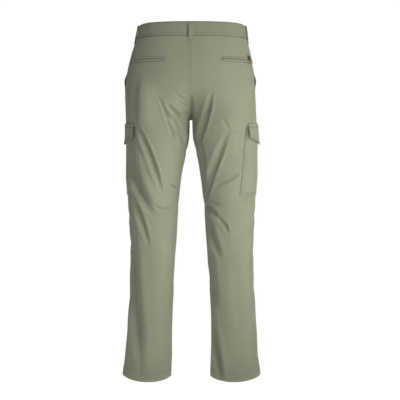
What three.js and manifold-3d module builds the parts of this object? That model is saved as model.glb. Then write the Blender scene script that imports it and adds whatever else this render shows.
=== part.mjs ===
// Cargo trousers in cotton twill, standing out as if worn: a straight leg, a two-piece waistband with
// five belt loops, slanted front pockets, jetted back pockets with a leather tab, and a flapped patch
// pocket on each thigh.
//
// Millimetres, +Z up, the front faces -Y and the wearer's left is +X. The origin is the middle of the
// waist, a little below the seam that joins the waistband to the panels.
//
// Each half of the trousers is one surface. A row runs round it from the centre front, by the outer
// side, to the centre back. Below the crotch both ends of a row meet at the inseam. `s` goes from 0 to 1
// along a row and `t` is the height of the row at the outer side.
import * as THREE from 'three';
import Module from 'manifold-3d';
import { mergeVertices } from 'three/addons/utils/BufferGeometryUtils.js';

const wasm = await Module();
wasm.setup();

// Driving sizes
const CLOTH = 1.6;            // wall of a panel
const SEAM_GAP = 0.3;         // between two pieces that are sewn together
const WAIST_SEAM = 7;         // height of the seam between the panels and the waistband
const BAND_TOP = 46;          // top of the waistband at the centre front
const BAND_PEAK = 3;          // it is this much taller across the back
const BAND_PEAK_TURN = 0.8;   // from where the cloth faces this far backwards
const BAND_DIP = 2;           // and this much lower at the sides
const CROTCH = -232;          // height of the crotch point
const HEM = -995;             // height of the hem at the side
const HEM_DROP = 15;          // the hem is this much lower at the back and higher at the front
const HEM_LEAN = 2.5;         // and this much higher at the outer side than at the inseam
const HEM_DROP_FROM = -700;   // the rows start to tilt here
const FRONT_RISE = 95;        // height of the curved lower part of the front seam, above the crotch
const BACK_RISE = 128;        // height of the curved lower part of the seat seam
const CROTCH_BRIDGE = 7;      // half width of the cloth that spans the gap between the legs at the crotch
const CROTCH_GAP = 4;         // half of the gap between the legs just below the crotch
const GAP_FADE = 60;          // that gap closes over this height above the crotch
const CENTRE_BLEND = 40;      // the two halves are evened out over this distance from the middle
const BRIDGE_GROWTH = 55;     // the spanning cloth is this much wider where the two halves are one
const BRIDGE_POWER = 1.2;
const STEEPEST_SPAN = 3;
const ROOF_SHARE = 0.05;      // share of the row that closes the gap at the crotch point
const HEM_CURVE = 1.6;        // above 1 the hem's lowest and highest stretches are shorter

const CLOTH_COLOUR = 0x8e947c;
const COLOURS = {
  panel: { color: CLOTH_COLOUR, roughness: 0.85, metalness: 0 },
  trim: { color: 0x878d75, roughness: 0.85, metalness: 0 },
  leather: { color: 0x6b4427, roughness: 0.6, metalness: 0 },
  button: { color: 0x5b5a48, roughness: 0.45, metalness: 0 },
  zip: { color: 0x6f735f, roughness: 0.6, metalness: 0.2 },
};

// Waist to crotch: half widths to the left and right, where the centre front and centre back lie, and
// how square the section is (2 is an ellipse).
const HIPS = [
  { z: 60, left: 153, right: 160, front: -91, back: 98, square: 2.5 },
  { z: 46, left: 155.5, right: 162.5, front: -92, back: 99.5, square: 2.5 },
  { z: 22, left: 159.5, right: 165, front: -94, back: 101.5, square: 2.48 },
  { z: 0, left: 165.5, right: 168.5, front: -96, back: 104, square: 2.46 },
  { z: -23, left: 174, right: 174.8, front: -99, back: 108.5, square: 2.44 },
  { z: -50, left: 181, right: 180.5, front: -101, back: 114, square: 2.42 },
  { z: -100, left: 191.5, right: 188, front: -105, back: 122.5, square: 2.38 },
  { z: -150, left: 196.5, right: 191, front: -108, back: 127, square: 2.32 },
  { z: -200, left: 196, right: 194, front: -109, back: 125, square: 2.25 },
  { z: -232, left: 195, right: 196, front: -109, back: 119, square: 2.2 },
  { z: -260, left: 193, right: 197, front: -108, back: 112.5, square: 2.15 },
];

// Crotch to hem: outer and inner edge of each leg from the middle, and the front and back of the section.
const LEGS = [
  { z: -215, leftOut: 195.5, leftIn: 2, rightOut: 195.5, rightIn: 2, front: -109, back: 122.5, square: 2.22 },
  { z: -232, leftOut: 195, leftIn: 4, rightOut: 196, rightIn: 4, front: -109, back: 119, square: 2.2 },
  { z: -269, leftOut: 191.5, leftIn: 5, rightOut: 197, rightIn: 5.5, front: -108, back: 110, square: 2.15 },
  { z: -293, leftOut: 191, leftIn: 7.5, rightOut: 197, rightIn: 8.5, front: -106.5, back: 104.5, square: 2.1 },
  { z: -317, leftOut: 191, leftIn: 12, rightOut: 196.5, rightIn: 13.5, front: -105, back: 99.5, square: 2.1 },
  { z: -341, leftOut: 191, leftIn: 17, rightOut: 196.5, rightIn: 19, front: -102.5, back: 95, square: 2.1 },
  { z: -389, leftOut: 191, leftIn: 26.5, rightOut: 196.5, rightIn: 27.5, front: -98, back: 87, square: 2.08 },
  { z: -437, leftOut: 190.5, leftIn: 33, rightOut: 194.5, rightIn: 34.5, front: -92, back: 80, square: 2.06 },
  { z: -485, leftOut: 189, leftIn: 37.5, rightOut: 192.5, rightIn: 39, front: -86, back: 73, square: 2.05 },
  { z: -533, leftOut: 186.5, leftIn: 41, rightOut: 190.5, rightIn: 42, front: -80, back: 68, square: 2.05 },
  { z: -605, leftOut: 181.5, leftIn: 45, rightOut: 188, rightIn: 47, front: -73, back: 66, square: 2.05 },
  { z: -677, leftOut: 182, leftIn: 50, rightOut: 187.5, rightIn: 52.5, front: -66, back: 69, square: 2.05 },
  { z: -749, leftOut: 184, leftIn: 52.5, rightOut: 190, rightIn: 57, front: -60, back: 71, square: 2.05 },
  { z: -821, leftOut: 188, leftIn: 55.5, rightOut: 194, rightIn: 60.5, front: -55, back: 70, square: 2.05 },
  { z: -893, leftOut: 193, leftIn: 57, rightOut: 198, rightIn: 61, front: -50, back: 69, square: 2.05 },
  { z: -941, leftOut: 198, leftIn: 57.5, rightOut: 201.5, rightIn: 59.5, front: -47, back: 68, square: 2.05 },
  { z: -995, leftOut: 204.5, leftIn: 59.5, rightOut: 208, rightIn: 58.5, front: -45, back: 67, square: 2.05 },
  { z: -1020, leftOut: 207, leftIn: 60.5, rightOut: 211, rightIn: 58, front: -44, back: 66, square: 2.05 },
];

// Angle of the outseam behind the side, in degrees, for each leg.
const OUTSEAM = [
  { z: 60, left: 7, right: 7 },
  { z: -100, left: 8, right: 8 },
  { z: -250, left: 12, right: 14 },
  { z: -480, left: 18, right: 28 },
  { z: -700, left: 20, right: 30 },
  { z: -1020, left: 22, right: 30 },
];

// The largest folds. `face` is 1 on the back and -1 on the front, A and B are the ends as seen from there,
// `bow` is how far the middle swings away from the straight line, `reach` is the half width, and a trough
// has a negative depth.
const FOLDS = [
  { face: 1, xA: 78, zA: -182, xB: 10, zB: -268, bow: 3, reach: 13, depth: -5 },
  { face: 1, xA: 92, zA: -190, xB: 40, zB: -332, bow: 4, reach: 14, depth: -4 },
  { face: 1, xA: 131, zA: -95, xB: 148, zB: -255, bow: 4, reach: 18, depth: 5 },
  { face: 1, xA: 158, zA: -248, xB: 74, zB: -468, bow: -4, reach: 14, depth: -9 },
  { face: 1, xA: 166, zA: -310, xB: 88, zB: -540, bow: 9, reach: 15, depth: -8 },
  { face: 1, xA: 178, zA: -435, xB: 118, zB: -618, bow: 4, reach: 14, depth: -6 },
  { face: 1, xA: 120, zA: -496, xB: 50, zB: -500, bow: -8, reach: 14, depth: -4 },
  { face: 1, xA: 172, zA: -620, xB: 136, zB: -975, bow: 6, reach: 17, depth: -7 },
  { face: 1, xA: 74, zA: -720, xB: 74, zB: -960, bow: 0, reach: 13, depth: 3 },
  { face: 1, xA: -68, zA: -145, xB: -18, zB: -304, bow: 9, reach: 13, depth: -7 },
  { face: 1, xA: -24, zA: -282, xB: -50, zB: -460, bow: 0, reach: 13, depth: -6 },
  { face: 1, xA: -113, zA: -248, xB: -52, zB: -440, bow: 6, reach: 15, depth: -6 },
  { face: 1, xA: -148, zA: -390, xB: -58, zB: -434, bow: 8, reach: 14, depth: -5 },
  { face: 1, xA: -46, zA: -478, xB: -90, zB: -532, bow: 3, reach: 13, depth: -6 },
  { face: 1, xA: -50, zA: -520, xB: -100, zB: -684, bow: 4, reach: 14, depth: -8 },
  { face: 1, xA: -58, zA: -660, xB: -80, zB: -768, bow: 2, reach: 14, depth: -5 },
  { face: 1, xA: -62, zA: -750, xB: -106, zB: -1000, bow: -2, reach: 15, depth: -11 },
  { face: -1, xA: 14, zA: -232, xB: 98, zB: -166, bow: 6, reach: 13, depth: -5 },
  { face: -1, xA: -12, zA: -236, xB: -92, zB: -156, bow: -6, reach: 13, depth: -5 },
  { face: -1, xA: 22, zA: -266, xB: 122, zB: -224, bow: 6, reach: 13, depth: -4 },
  { face: -1, xA: -24, zA: -272, xB: -130, zB: -220, bow: -5, reach: 14, depth: -4 },
  { face: -1, xA: 152, zA: -296, xB: 82, zB: -476, bow: 6, reach: 15, depth: -6 },
  { face: -1, xA: -154, zA: -286, xB: -90, zB: -458, bow: -6, reach: 15, depth: -6 },
  { face: -1, xA: 60, zA: -520, xB: 160, zB: -562, bow: 6, reach: 14, depth: -5 },
  { face: -1, xA: -58, zA: -500, xB: -154, zB: -554, bow: -6, reach: 14, depth: -5 },
  { face: -1, xA: 80, zA: -596, xB: 152, zB: -706, bow: 5, reach: 15, depth: -6 },
  { face: -1, xA: -82, zA: -586, xB: -142, zB: -696, bow: -5, reach: 15, depth: -5 },
  { face: -1, xA: 142, zA: -750, xB: 106, zB: -962, bow: 5, reach: 16, depth: -7 },
  { face: -1, xA: -152, zA: -760, xB: -110, zB: -970, bow: -5, reach: 16, depth: -6 },
];

// Front pockets
const SLASH_TOP = 52;         // the slanted edge starts this far in front of the outseam
const SLASH_END = -152;       // and reaches it at this height, where the panels have a row
const FACING_END = -147;      // the facing's last row
const FACING_SINK = 1.0;      // the pocket facing lies this much deeper than the panel

// Back pockets
const JET_TOP = -54;
const JET_MOUTH = -61.5;
const JET_BOTTOM = -69;
const JET_THICK = 1.3;
const JET_LENGTH = 132;
const JET_START = { left: 77, right: 91 };  // from the seat seam, along the cloth

const TAB = { from: 187, to: 201, top: -46, bottom: -70, thick: 1.4 };

// Cargo pockets: sizes along the cloth. The middle lies this far behind the side of the leg.
const POCKET_MIDDLE = { left: -4, right: 4 };
const POCKET = { width: 192, top: -258, bottom: -458, thick: 1.6 };
// The flap is shorter at its ends than in the middle, its front end is higher than its back end, and it
// stands off at its point.
const FLAP = {
  width: 178,
  cornerWidth: 162,
  top: -243,
  tilt: 6,
  side: 41,
  tip: 64,
  thick: 2,
  lift: 3.5,
  step: 14,                   // it climbs onto the pocket over this length
  curl: 1.4,                  // above 1 the stand-off gathers near the point
};

// Waistband and belt loops
const BAND_PROUD = 0.9;
const BAND_WALL = 2.4;
const UNDERLAP = 32;          // the right end runs on under the left one
const OVERLAP = 5;            // the left end and the fly pass the centre front by this much
const LOOP = {
  width: 13,
  strap: 1.4,
  stand: 5.8,                 // room for a belt
  clear: 0.5,                 // between the strap's ends and the cloth
  top: 47,
  bottom: -9,
  foot: 6,                    // sewn length at the lower end
  rise: 8,                    // height at which the strap has left the cloth
  fall: 6,                    // distance below the top where it turns back to it
  frontX: 68,                 // the front loops stand this far from the middle
  sideBehind: 9,              // the side loops stand this far behind the outer side
};

// Fly
const FLY = { width: 38, top: 5.8, bottom: -168, thick: 1.2 };
const ZIP = { width: 26, top: -1, bottom: -150, tape: 0.8, sink: 3.9 };
const SLIDER = { width: 8, length: 9, thick: 1.6, tabWidth: 5, tabLength: 17 };
const BUTTON = { radius: 8.5, thick: 3, rim: 1.6, round: 0.8, x: 17, z: 26.5, hole: 0.9, spread: 2.1 };

// Rows of the panels
const HIP_ROWS = 5;
const CROTCH_ROWS = 8;
const LEG_ROWS = 28;
const ROOF_ROWS = [-7, -17];
const BACK_COLUMNS = 18;
const FRONT_COLUMNS = 9;

const clamp = (v, low, high) => Math.min(high, Math.max(low, v));

const smooth = (v) => {
  const u = clamp(v, 0, 1);
  return u * u * (3 - 2 * u);
};

// Value of a column at height z, by a Catmull-Rom curve through the rows. The rows go downwards.
function at(table, z, column) {
  const last = table.length - 1;
  let i = 0;
  while (i < last - 1 && table[i + 1].z > z) i += 1;
  const [a, b, c, d] = [Math.max(i - 1, 0), i, i + 1, Math.min(i + 2, last)].map((k) => table[k]);
  const u = clamp((z - b.z) / (c.z - b.z), 0, 1);
  const span = c.z - b.z;
  const slopeB = (c[column] - a[column]) / (c.z - a.z) * span;
  const slopeC = (d[column] - b[column]) / (d.z - b.z) * span;
  const u2 = u * u;
  const u3 = u2 * u;
  return (2 * u3 - 3 * u2 + 1) * b[column] + (u3 - 2 * u2 + u) * slopeB
    + (3 * u2 - 2 * u3) * c[column] + (u3 - u2) * slopeC;
}

const name = (side) => (side > 0 ? 'left' : 'right');

// How far the section's centre has moved away from the middle: 0 at the hips, 1 at the crotch.
function spread(z, rise) {
  return clamp(1 - (z - CROTCH) / rise, 0, 1);
}

// Sizes of one half's section at height z.
function section(side, z) {
  const above = z >= CROTCH;
  const table = above ? HIPS : LEGS;
  const [out, other] = [side, -side].map((half) => at(table, z, above ? name(half) : `${name(half)}Out`));
  const gap = above
    ? CROTCH_GAP * smooth(1 - (z - CROTCH) / GAP_FADE)
    : at(LEGS, z, `${name(side)}In`);
  const front = at(table, z, 'front');
  const back = at(table, z, 'back');
  return {
    out,
    meanOut: (out + other) / 2,
    gap,
    middle: (front + back) / 2,
    depth: (back - front) / 2,
    square: at(table, z, 'square'),
    frontSpread: spread(z, FRONT_RISE),
    backSpread: spread(z, BACK_RISE),
  };
}

// Angle at which the section starts, at the middle plane. The angle is 0 at the inseam and PI at the
// outer side.
const startAngle = (cut, spreadOut) => Math.acos(spreadOut ** (cut.square / 2));

const COLUMN_CROWDING = 3;

// Turn away from the outer side at a place `v` along the row, from 0 at the side to 1 at the middle plane.
// Where the start angle is small the columns draw together near the middle plane only.
function turnAt(start, v) {
  const power = 1 + COLUMN_CROWDING * (1 - 2 * start / Math.PI);
  return Math.PI * v - start * v ** power;
}

// The cloth spans the hollow between the two halves with a shallow curve near the middle plane.
function spanned(cut, q, out, x) {
  const radius = (out - cut.gap) / (1 + q);
  const wide = CROTCH_BRIDGE + BRIDGE_GROWTH * (1 - q) ** BRIDGE_POWER;
  const reach = cut.gap + Math.min(wide, q * radius);
  if (x >= reach || q <= 0) return undefined;
  const u = (reach - cut.gap) / radius - q;
  const n = cut.square;
  const rest = Math.max(1 - Math.abs(u) ** n, 1e-6);
  const edge = cut.depth * rest ** (1 / n);
  const slope = cut.depth * rest ** (1 / n - 1) * Math.abs(u) ** (n - 1) / radius;
  return edge - Math.min(slope, STEEPEST_SPAN) * (reach * reach - x * x) / (2 * reach);
}

// Both halves meet at the same depth on the middle plane, though one is a little wider than the other.
function bridged(cut, q, x, y) {
  const own = spanned(cut, q, cut.out, x) ?? y;
  if (x > CENTRE_BLEND) return own;
  const centre = spanned(cut, q, cut.out, 0) ?? cut.depth;
  const shared = spanned(cut, q, cut.meanOut, 0) ?? cut.depth;
  return own + (shared - centre) * (1 - x / CENTRE_BLEND) ** 2;
}

// Point of the smooth cloth, before folds.
function base(side, s, t) {
  const front = s < 0.5;
  const rise = front ? FRONT_RISE : BACK_RISE;
  let z = t;
  if (t > CROTCH && t < CROTCH + rise) {
    const seam = CROTCH + rise * (1 - Math.cos(Math.PI / 2 * (t - CROTCH) / rise));
    z = t + (seam - t) * Math.abs(2 * s - 1) ** 3;
  }
  const cut = section(side, z);
  const q = front ? cut.frontSpread : cut.backSpread;
  const start = startAngle(cut, q);
  const angle = front ? Math.PI - turnAt(start, 1 - 2 * s) : Math.PI + turnAt(start, 2 * s - 1);
  const power = 2 / cut.square;
  const c = Math.sign(Math.cos(angle)) * Math.abs(Math.cos(angle)) ** power;
  const d = Math.sign(Math.sin(angle)) * Math.abs(Math.sin(angle)) ** power;
  const radius = (cut.out - cut.gap) / (1 + q);
  const end = Math.min(s, 1 - s);
  let x = cut.gap + radius * (q - c);
  let y = cut.depth * Math.abs(d);
  if (t >= CROTCH) {
    x -= cut.gap * (1 - smooth(end / ROOF_SHARE));
    if (z >= CROTCH) y = bridged(cut, q, x, y);
  }
  const tilt = smooth((HEM_DROP_FROM - t) / (HEM_DROP_FROM - HEM));
  const dip = Math.sign(Math.sin(angle)) * Math.abs(Math.sin(angle)) ** HEM_CURVE;
  z += tilt * (HEM_DROP * dip - HEM_LEAN * Math.cos(angle));
  return new THREE.Vector3(side * x, cut.middle - Math.sign(d || 1) * y, z);
}

// Small steps along and down the surface, from which its directions are taken.
const ALONG_STEP = 0.004;
const DOWN_STEP = 1.5;

// Outward normal of a surface given by a function of s and t.
function normalOf(surface, side, s, t) {
  if (t === CROTCH && (s <= 0 || s >= 1)) return new THREE.Vector3(0, 0, -1);
  const low = t > CROTCH ? Math.max(t - DOWN_STEP, CROTCH + 0.01) : t - DOWN_STEP;
  const high = t <= CROTCH ? Math.min(t + DOWN_STEP, CROTCH) : t + DOWN_STEP;
  const ahead = surface(side, Math.min(s + ALONG_STEP, 1), t);
  const along = ahead.sub(surface(side, Math.max(s - ALONG_STEP, 0), t));
  const down = surface(side, s, low).sub(surface(side, s, high));
  const normal = down.cross(along).multiplyScalar(side);
  if (t > CROTCH && (s <= 0 || s >= 1)) normal.x = 0;
  return normal.normalize();
}

// Shape of every fold across its length, in half widths, and along it.
const FOLD_SHAPE = { sharp: 1.2, lipHeight: 0.3, lipAt: 1.7, lipSharp: 2, end: 3.5, taper: 0.3 };
// A fold fades out where the cloth turns away from the face it is seen on.
const FACING = { from: 0.05, to: 0.5 };

// Height of one fold at a point seen from the front or the back: a trough with a low lip on each side.
function foldHeight(fold, x, z) {
  const dx = fold.xB - fold.xA;
  const dz = fold.zB - fold.zA;
  const length = Math.hypot(dx, dz);
  const u = ((x - fold.xA) * dx + (z - fold.zA) * dz) / (length * length);
  if (u <= 0 || u >= 1) return 0;
  const across = ((x - fold.xA) * dz - (z - fold.zA) * dx) / length - fold.bow * 4 * u * (1 - u);
  const v = across / fold.reach;
  if (Math.abs(v) > FOLD_SHAPE.end) return 0;
  const lip = FOLD_SHAPE.lipHeight * Math.exp(-FOLD_SHAPE.lipSharp * (Math.abs(v) - FOLD_SHAPE.lipAt) ** 2);
  const ends = smooth(u / FOLD_SHAPE.taper) * smooth((1 - u) / FOLD_SHAPE.taper);
  return fold.depth * ends * (Math.exp(-FOLD_SHAPE.sharp * v * v) - lip);
}

// Point of the cloth with its folds, moved out along the base normal.
function cloth(side, s, t) {
  const p = base(side, s, t);
  if (t >= 0) return p;
  const n = normalOf(base, side, s, t);
  let height = 0;
  for (const fold of FOLDS) {
    const facing = smooth((n.y * fold.face - FACING.from) / (FACING.to - FACING.from));
    if (facing > 0) height += facing * foldHeight(fold, p.x, p.z);
  }
  return p.addScaledVector(n, height);
}

const outseamAngle = (side, t) => THREE.MathUtils.degToRad(at(OUTSEAM, t, name(side)));

const TURN_PASSES = 40;

// Position along a row of a point that lies `angle` behind the outer side.
function alongRow(side, t, angle) {
  const cut = section(side, t);
  const start = startAngle(cut, angle < 0 ? cut.frontSpread : cut.backSpread);
  const turn = Math.abs(angle);
  let v = turn / Math.PI;
  for (let i = 0; i < TURN_PASSES; i += 1) v += (turn - turnAt(start, v)) / Math.PI;
  return 0.5 + 0.5 * Math.sign(angle) * v;
}

const outseam = (side, t) => alongRow(side, t, outseamAngle(side, t));

// Radius of the outer side, which turns a length along the cloth into an angle. It is mostly the
// section's depth.
const DEPTH_SHARE = 0.85;

function sideRadius(side, t) {
  const cut = section(side, t);
  return THREE.MathUtils.lerp((cut.out - cut.gap) / (1 + cut.backSpread), cut.depth, DEPTH_SHARE);
}

// Position along a row of a point at a length along the cloth from the centre back, or from the centre front.
const WALK_STEP = 0.004;

function fromMiddle(side, t, length, start) {
  const step = start > 0 ? -WALK_STEP : WALK_STEP;
  let walked = 0;
  let s = start;
  let last = base(side, s, t);
  while (walked < length) {
    s += step;
    const next = base(side, s, t);
    walked += next.distanceTo(last);
    last = next;
  }
  return s;
}

const fromSeatSeam = (side, t, length) => fromMiddle(side, t, length, 1);
const fromFront = (side, length) => fromMiddle(side, 0, length, 0);

// Heights of the rows, from the waist seam to the hem.
function rowHeights() {
  const crotchTop = CROTCH + BACK_RISE;
  const heights = [];
  const top = WAIST_SEAM - SEAM_GAP / 2;
  for (let i = 0; i < HIP_ROWS; i += 1) heights.push(top + (crotchTop - top) * i / HIP_ROWS);
  for (let i = 0; i < CROTCH_ROWS; i += 1) heights.push(crotchTop - BACK_RISE * i / CROTCH_ROWS);
  heights.push(CROTCH, ...ROOF_ROWS.map((drop) => CROTCH + drop));
  const from = CROTCH + ROOF_ROWS.at(-1);
  for (let i = 1; i <= LEG_ROWS; i += 1) heights.push(from + (HEM - from) * i / LEG_ROWS);
  return heights;
}

const ROWS = rowHeights();

// A grid of points and normals. Each column says where it lies on a row, and whether it runs towards the
// middle front, against the order of the panels' own columns.
function grid(rows, columns) {
  return rows.map((t) => columns.map(({ side, s, shift = 0, reversed = false }) => {
    const where = typeof s === 'function' ? s(t) : s;
    const p = cloth(side, where, t);
    const n = normalOf(cloth, side, where, t);
    const edge = where <= 0 || where >= 1;
    if (shift && edge && t >= CROTCH) p.x = side * SEAM_GAP / 2;
    if (shift && t <= CROTCH && edge) p.y += shift * SEAM_GAP / 2;
    if (shift && !edge) p.add(tangent(side, where, t).multiplyScalar(shift * SEAM_GAP / 2));
    return { p, n, t, reversed };
  }));
}

// Direction along a row, towards the back.
function tangent(side, s, t) {
  const after = cloth(side, Math.min(s + ALONG_STEP, 1), t);
  return after.sub(cloth(side, Math.max(s - ALONG_STEP, 0), t)).normalize();
}

const MUCH_SHORTER = 0.8;

// Whether a cell of the grid is split along its rising diagonal. The falling one follows the folds, and
// gives way where the rising one is much shorter.
function turned(points, i, j) {
  const falling = points[i][j].p.distanceTo(points[i + 1][j + 1].p);
  const rising = points[i + 1][j].p.distanceTo(points[i][j + 1].p);
  return points[i][j].reversed ? falling >= rising * MUCH_SHORTER : rising < falling * MUCH_SHORTER;
}

// A closed wall between two offsets of a grid. An offset is a number or a function of the grid's point.
function wall(points, outer, inner) {
  const rows = points.length;
  const columns = points[0].length;
  const positions = [];
  const index = [];
  const height = (offset, g) => (typeof offset === 'function' ? offset(g) : offset);
  for (const offset of [outer, inner]) {
    for (const row of points) {
      for (const g of row) {
        const p = g.p.clone().addScaledVector(g.n, height(offset, g));
        positions.push(p.x, p.y, p.z);
      }
    }
  }
  const id = (layer, i, j) => (layer * rows + i) * columns + j;
  const quad = (a, b, c, d) => index.push(a, b, c, a, c, d);
  for (let i = 0; i < rows - 1; i += 1) {
    for (let j = 0; j < columns - 1; j += 1) {
      if (turned(points, i, j)) {
        quad(id(0, i + 1, j), id(0, i + 1, j + 1), id(0, i, j + 1), id(0, i, j));
        quad(id(1, i, j + 1), id(1, i + 1, j + 1), id(1, i + 1, j), id(1, i, j));
      } else {
        quad(id(0, i, j), id(0, i + 1, j), id(0, i + 1, j + 1), id(0, i, j + 1));
        quad(id(1, i, j), id(1, i, j + 1), id(1, i + 1, j + 1), id(1, i + 1, j));
      }
    }
    quad(id(0, i, 0), id(1, i, 0), id(1, i + 1, 0), id(0, i + 1, 0));
    const e = columns - 1;
    quad(id(0, i, e), id(0, i + 1, e), id(1, i + 1, e), id(1, i, e));
  }
  for (let j = 0; j < columns - 1; j += 1) {
    quad(id(0, 0, j), id(0, 0, j + 1), id(1, 0, j + 1), id(1, 0, j));
    const e = rows - 1;
    quad(id(0, e, j), id(1, e, j), id(1, e, j + 1), id(0, e, j + 1));
  }
  const geometry = new THREE.BufferGeometry();
  geometry.setAttribute('position', new THREE.Float32BufferAttribute(positions, 3));
  geometry.setIndex(index);
  return outwards(geometry);
}

// Turns a closed geometry's faces outwards if they point in.
function outwards(geometry) {
  const p = geometry.attributes.position;
  const index = geometry.index.array;
  const [a, b, c] = [0, 1, 2].map(() => new THREE.Vector3());
  let volume = 0;
  for (let i = 0; i < index.length; i += 3) {
    a.fromBufferAttribute(p, index[i]);
    b.fromBufferAttribute(p, index[i + 1]);
    c.fromBufferAttribute(p, index[i + 2]);
    volume += a.dot(b.cross(c));
  }
  if (volume < 0) {
    for (let i = 0; i < index.length; i += 3) [index[i + 1], index[i + 2]] = [index[i + 2], index[i + 1]];
  }
  return geometry;
}

function toSolid(geometry) {
  const bare = geometry.clone();
  bare.deleteAttribute('normal');
  bare.deleteAttribute('uv');
  const merged = mergeVertices(bare, 1e-4);
  return new wasm.Manifold(new wasm.Mesh({
    numProp: 3,
    vertProperties: new Float32Array(merged.attributes.position.array),
    triVerts: new Uint32Array(merged.index.array),
  }));
}

function toGeometry(solid) {
  const mesh = solid.getMesh();
  const geometry = new THREE.BufferGeometry();
  geometry.setAttribute('position', new THREE.Float32BufferAttribute(mesh.vertProperties, 3));
  geometry.setIndex([...mesh.triVerts]);
  return geometry;
}

// The rows that a piece between two heights needs, so that it follows the panel's own facets.
function rowsAcross(top, bottom) {
  const first = ROWS.findIndex((t) => t <= top) - 1;
  const last = ROWS.findIndex((t) => t <= bottom);
  return ROWS.slice(Math.max(first, 0), last + 1);
}

const frontColumn = (side, k) => ({ side, s: (t) => outseam(side, t) * k / FRONT_COLUMNS });
const backColumn = (side, k) => ({
  side,
  s: (t) => outseam(side, t) + (1 - outseam(side, t)) * k / BACK_COLUMNS,
});

const CUTTER_OUT = 16;
const CUTTER_IN = 9;

// A piece that lies on the panels: a slab on their own points, cut to an outline. The outline is a table
// of rows of points, each a place on the cloth.
function laidOn(columns, top, bottom, inner, outer, outline) {
  const slab = toSolid(wall(grid(rowsAcross(top, bottom), columns), outer, inner));
  const cutter = toSolid(wall(outline, CUTTER_OUT, -CUTTER_IN));
  return toGeometry(slab.intersect(cutter));
}

// Outline points for a cutter.
function outlineGrid(places) {
  return places.map((row) => row.map(({ side, s, t }) => ({
    p: cloth(side, s, t),
    n: normalOf(base, side, s, t),
  })));
}

const pieces = new THREE.Group();

function add(nodeName, geometry, look) {
  const mesh = new THREE.Mesh(geometry, new THREE.MeshStandardMaterial(COLOURS[look]));
  mesh.name = nodeName;
  pieces.add(mesh);
  return mesh;
}

function backColumns(side) {
  const columns = [];
  for (let k = 0; k <= BACK_COLUMNS; k += 1) columns.push(backColumn(side, k));
  return columns;
}

// Leg panels. Each back panel runs from the outseam to the seat seam and the inseam.
function backPanel(side) {
  const columns = backColumns(side);
  columns[0].shift = 1;
  columns[BACK_COLUMNS].shift = 1;
  add(`back_${name(side)}`, wall(grid(ROWS, columns), 0, -CLOTH), 'panel');
}

// Where the front panel ends at the side: at the slanted pocket edge above, and at the outseam below.
function frontEdge(side, t) {
  const away = SLASH_TOP * clamp((t - SLASH_END) / -SLASH_END, 0, 1);
  return alongRow(side, t, outseamAngle(side, t) - away / sideRadius(side, t));
}

function frontPanel(side) {
  const columns = [];
  for (let k = 0; k <= FRONT_COLUMNS; k += 1) {
    columns.push({ side, s: (t) => frontEdge(side, t) * k / FRONT_COLUMNS });
  }
  columns[0].shift = -1;
  columns[FRONT_COLUMNS].shift = -1;
  add(`front_${name(side)}`, wall(grid(ROWS, columns), 0, -CLOTH), 'panel');
}

// The pocket facing fills the corner between the slanted edge and the outseam.
function pocketFacing(side) {
  const columns = [0, 1 / 3, 2 / 3, 1].map((part) => ({
    side,
    s: (t) => frontEdge(side, t) + (outseam(side, t) - frontEdge(side, t)) * part,
  }));
  columns[0].shift = 1;
  columns.at(-1).shift = -1;
  const points = grid([...ROWS.filter((t) => t > FACING_END), FACING_END], columns);
  add(`pocket_facing_${name(side)}`, wall(points, -FACING_SINK, -FACING_SINK - CLOTH), 'trim');
}

// Waistband
const BAND_MIDDLE = (BAND_TOP + WAIST_SEAM) / 2;
const BAND_ROWS = [BAND_TOP, BAND_MIDDLE, WAIST_SEAM + SEAM_GAP / 2];
const BAND_COLUMNS = 22;

// The right end steps down under the left one over this length.
const STEP_START = 16;
const STEP_END = 2;

function waistband(side) {
  const columns = [];
  for (let k = 0; k <= BAND_COLUMNS; k += 1) columns.push({ side, s: 1 - k / BAND_COLUMNS, sink: 0 });
  columns[0].shift = 1;
  const sunk = BAND_WALL + SEAM_GAP;
  if (side > 0) {
    columns.push({ side: -1, s: fromFront(-1, OVERLAP), sink: 0 });
  } else {
    const stepStart = fromFront(side, OVERLAP + STEP_START);
    while (columns.at(-1).s < stepStart) columns.pop();
    columns.push({ side, s: stepStart, sink: 0 });
    columns.push({ side, s: fromFront(side, OVERLAP + STEP_END), sink: sunk });
    columns.push({ side, s: 0, sink: sunk });
    columns.push({ side: 1, s: fromFront(1, UNDERLAP / 2), sink: sunk });
    columns.push({ side: 1, s: fromFront(1, UNDERLAP), sink: sunk });
  }
  const points = grid(BAND_ROWS, columns);
  points.forEach((row) => row.forEach((g, k) => {
    g.sink = columns[k].sink;
    const edge = BAND_PEAK * smooth(g.n.y / BAND_PEAK_TURN) - BAND_DIP * (1 - g.n.y ** 2);
    g.p.z += edge * (g.t - WAIST_SEAM) / (BAND_TOP - WAIST_SEAM);
  }));
  const outer = (g) => BAND_PROUD - g.sink;
  const inner = (g) => BAND_PROUD - BAND_WALL - g.sink;
  add(`waistband_${name(side)}`, wall(points, outer, inner), 'panel');
}

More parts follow.
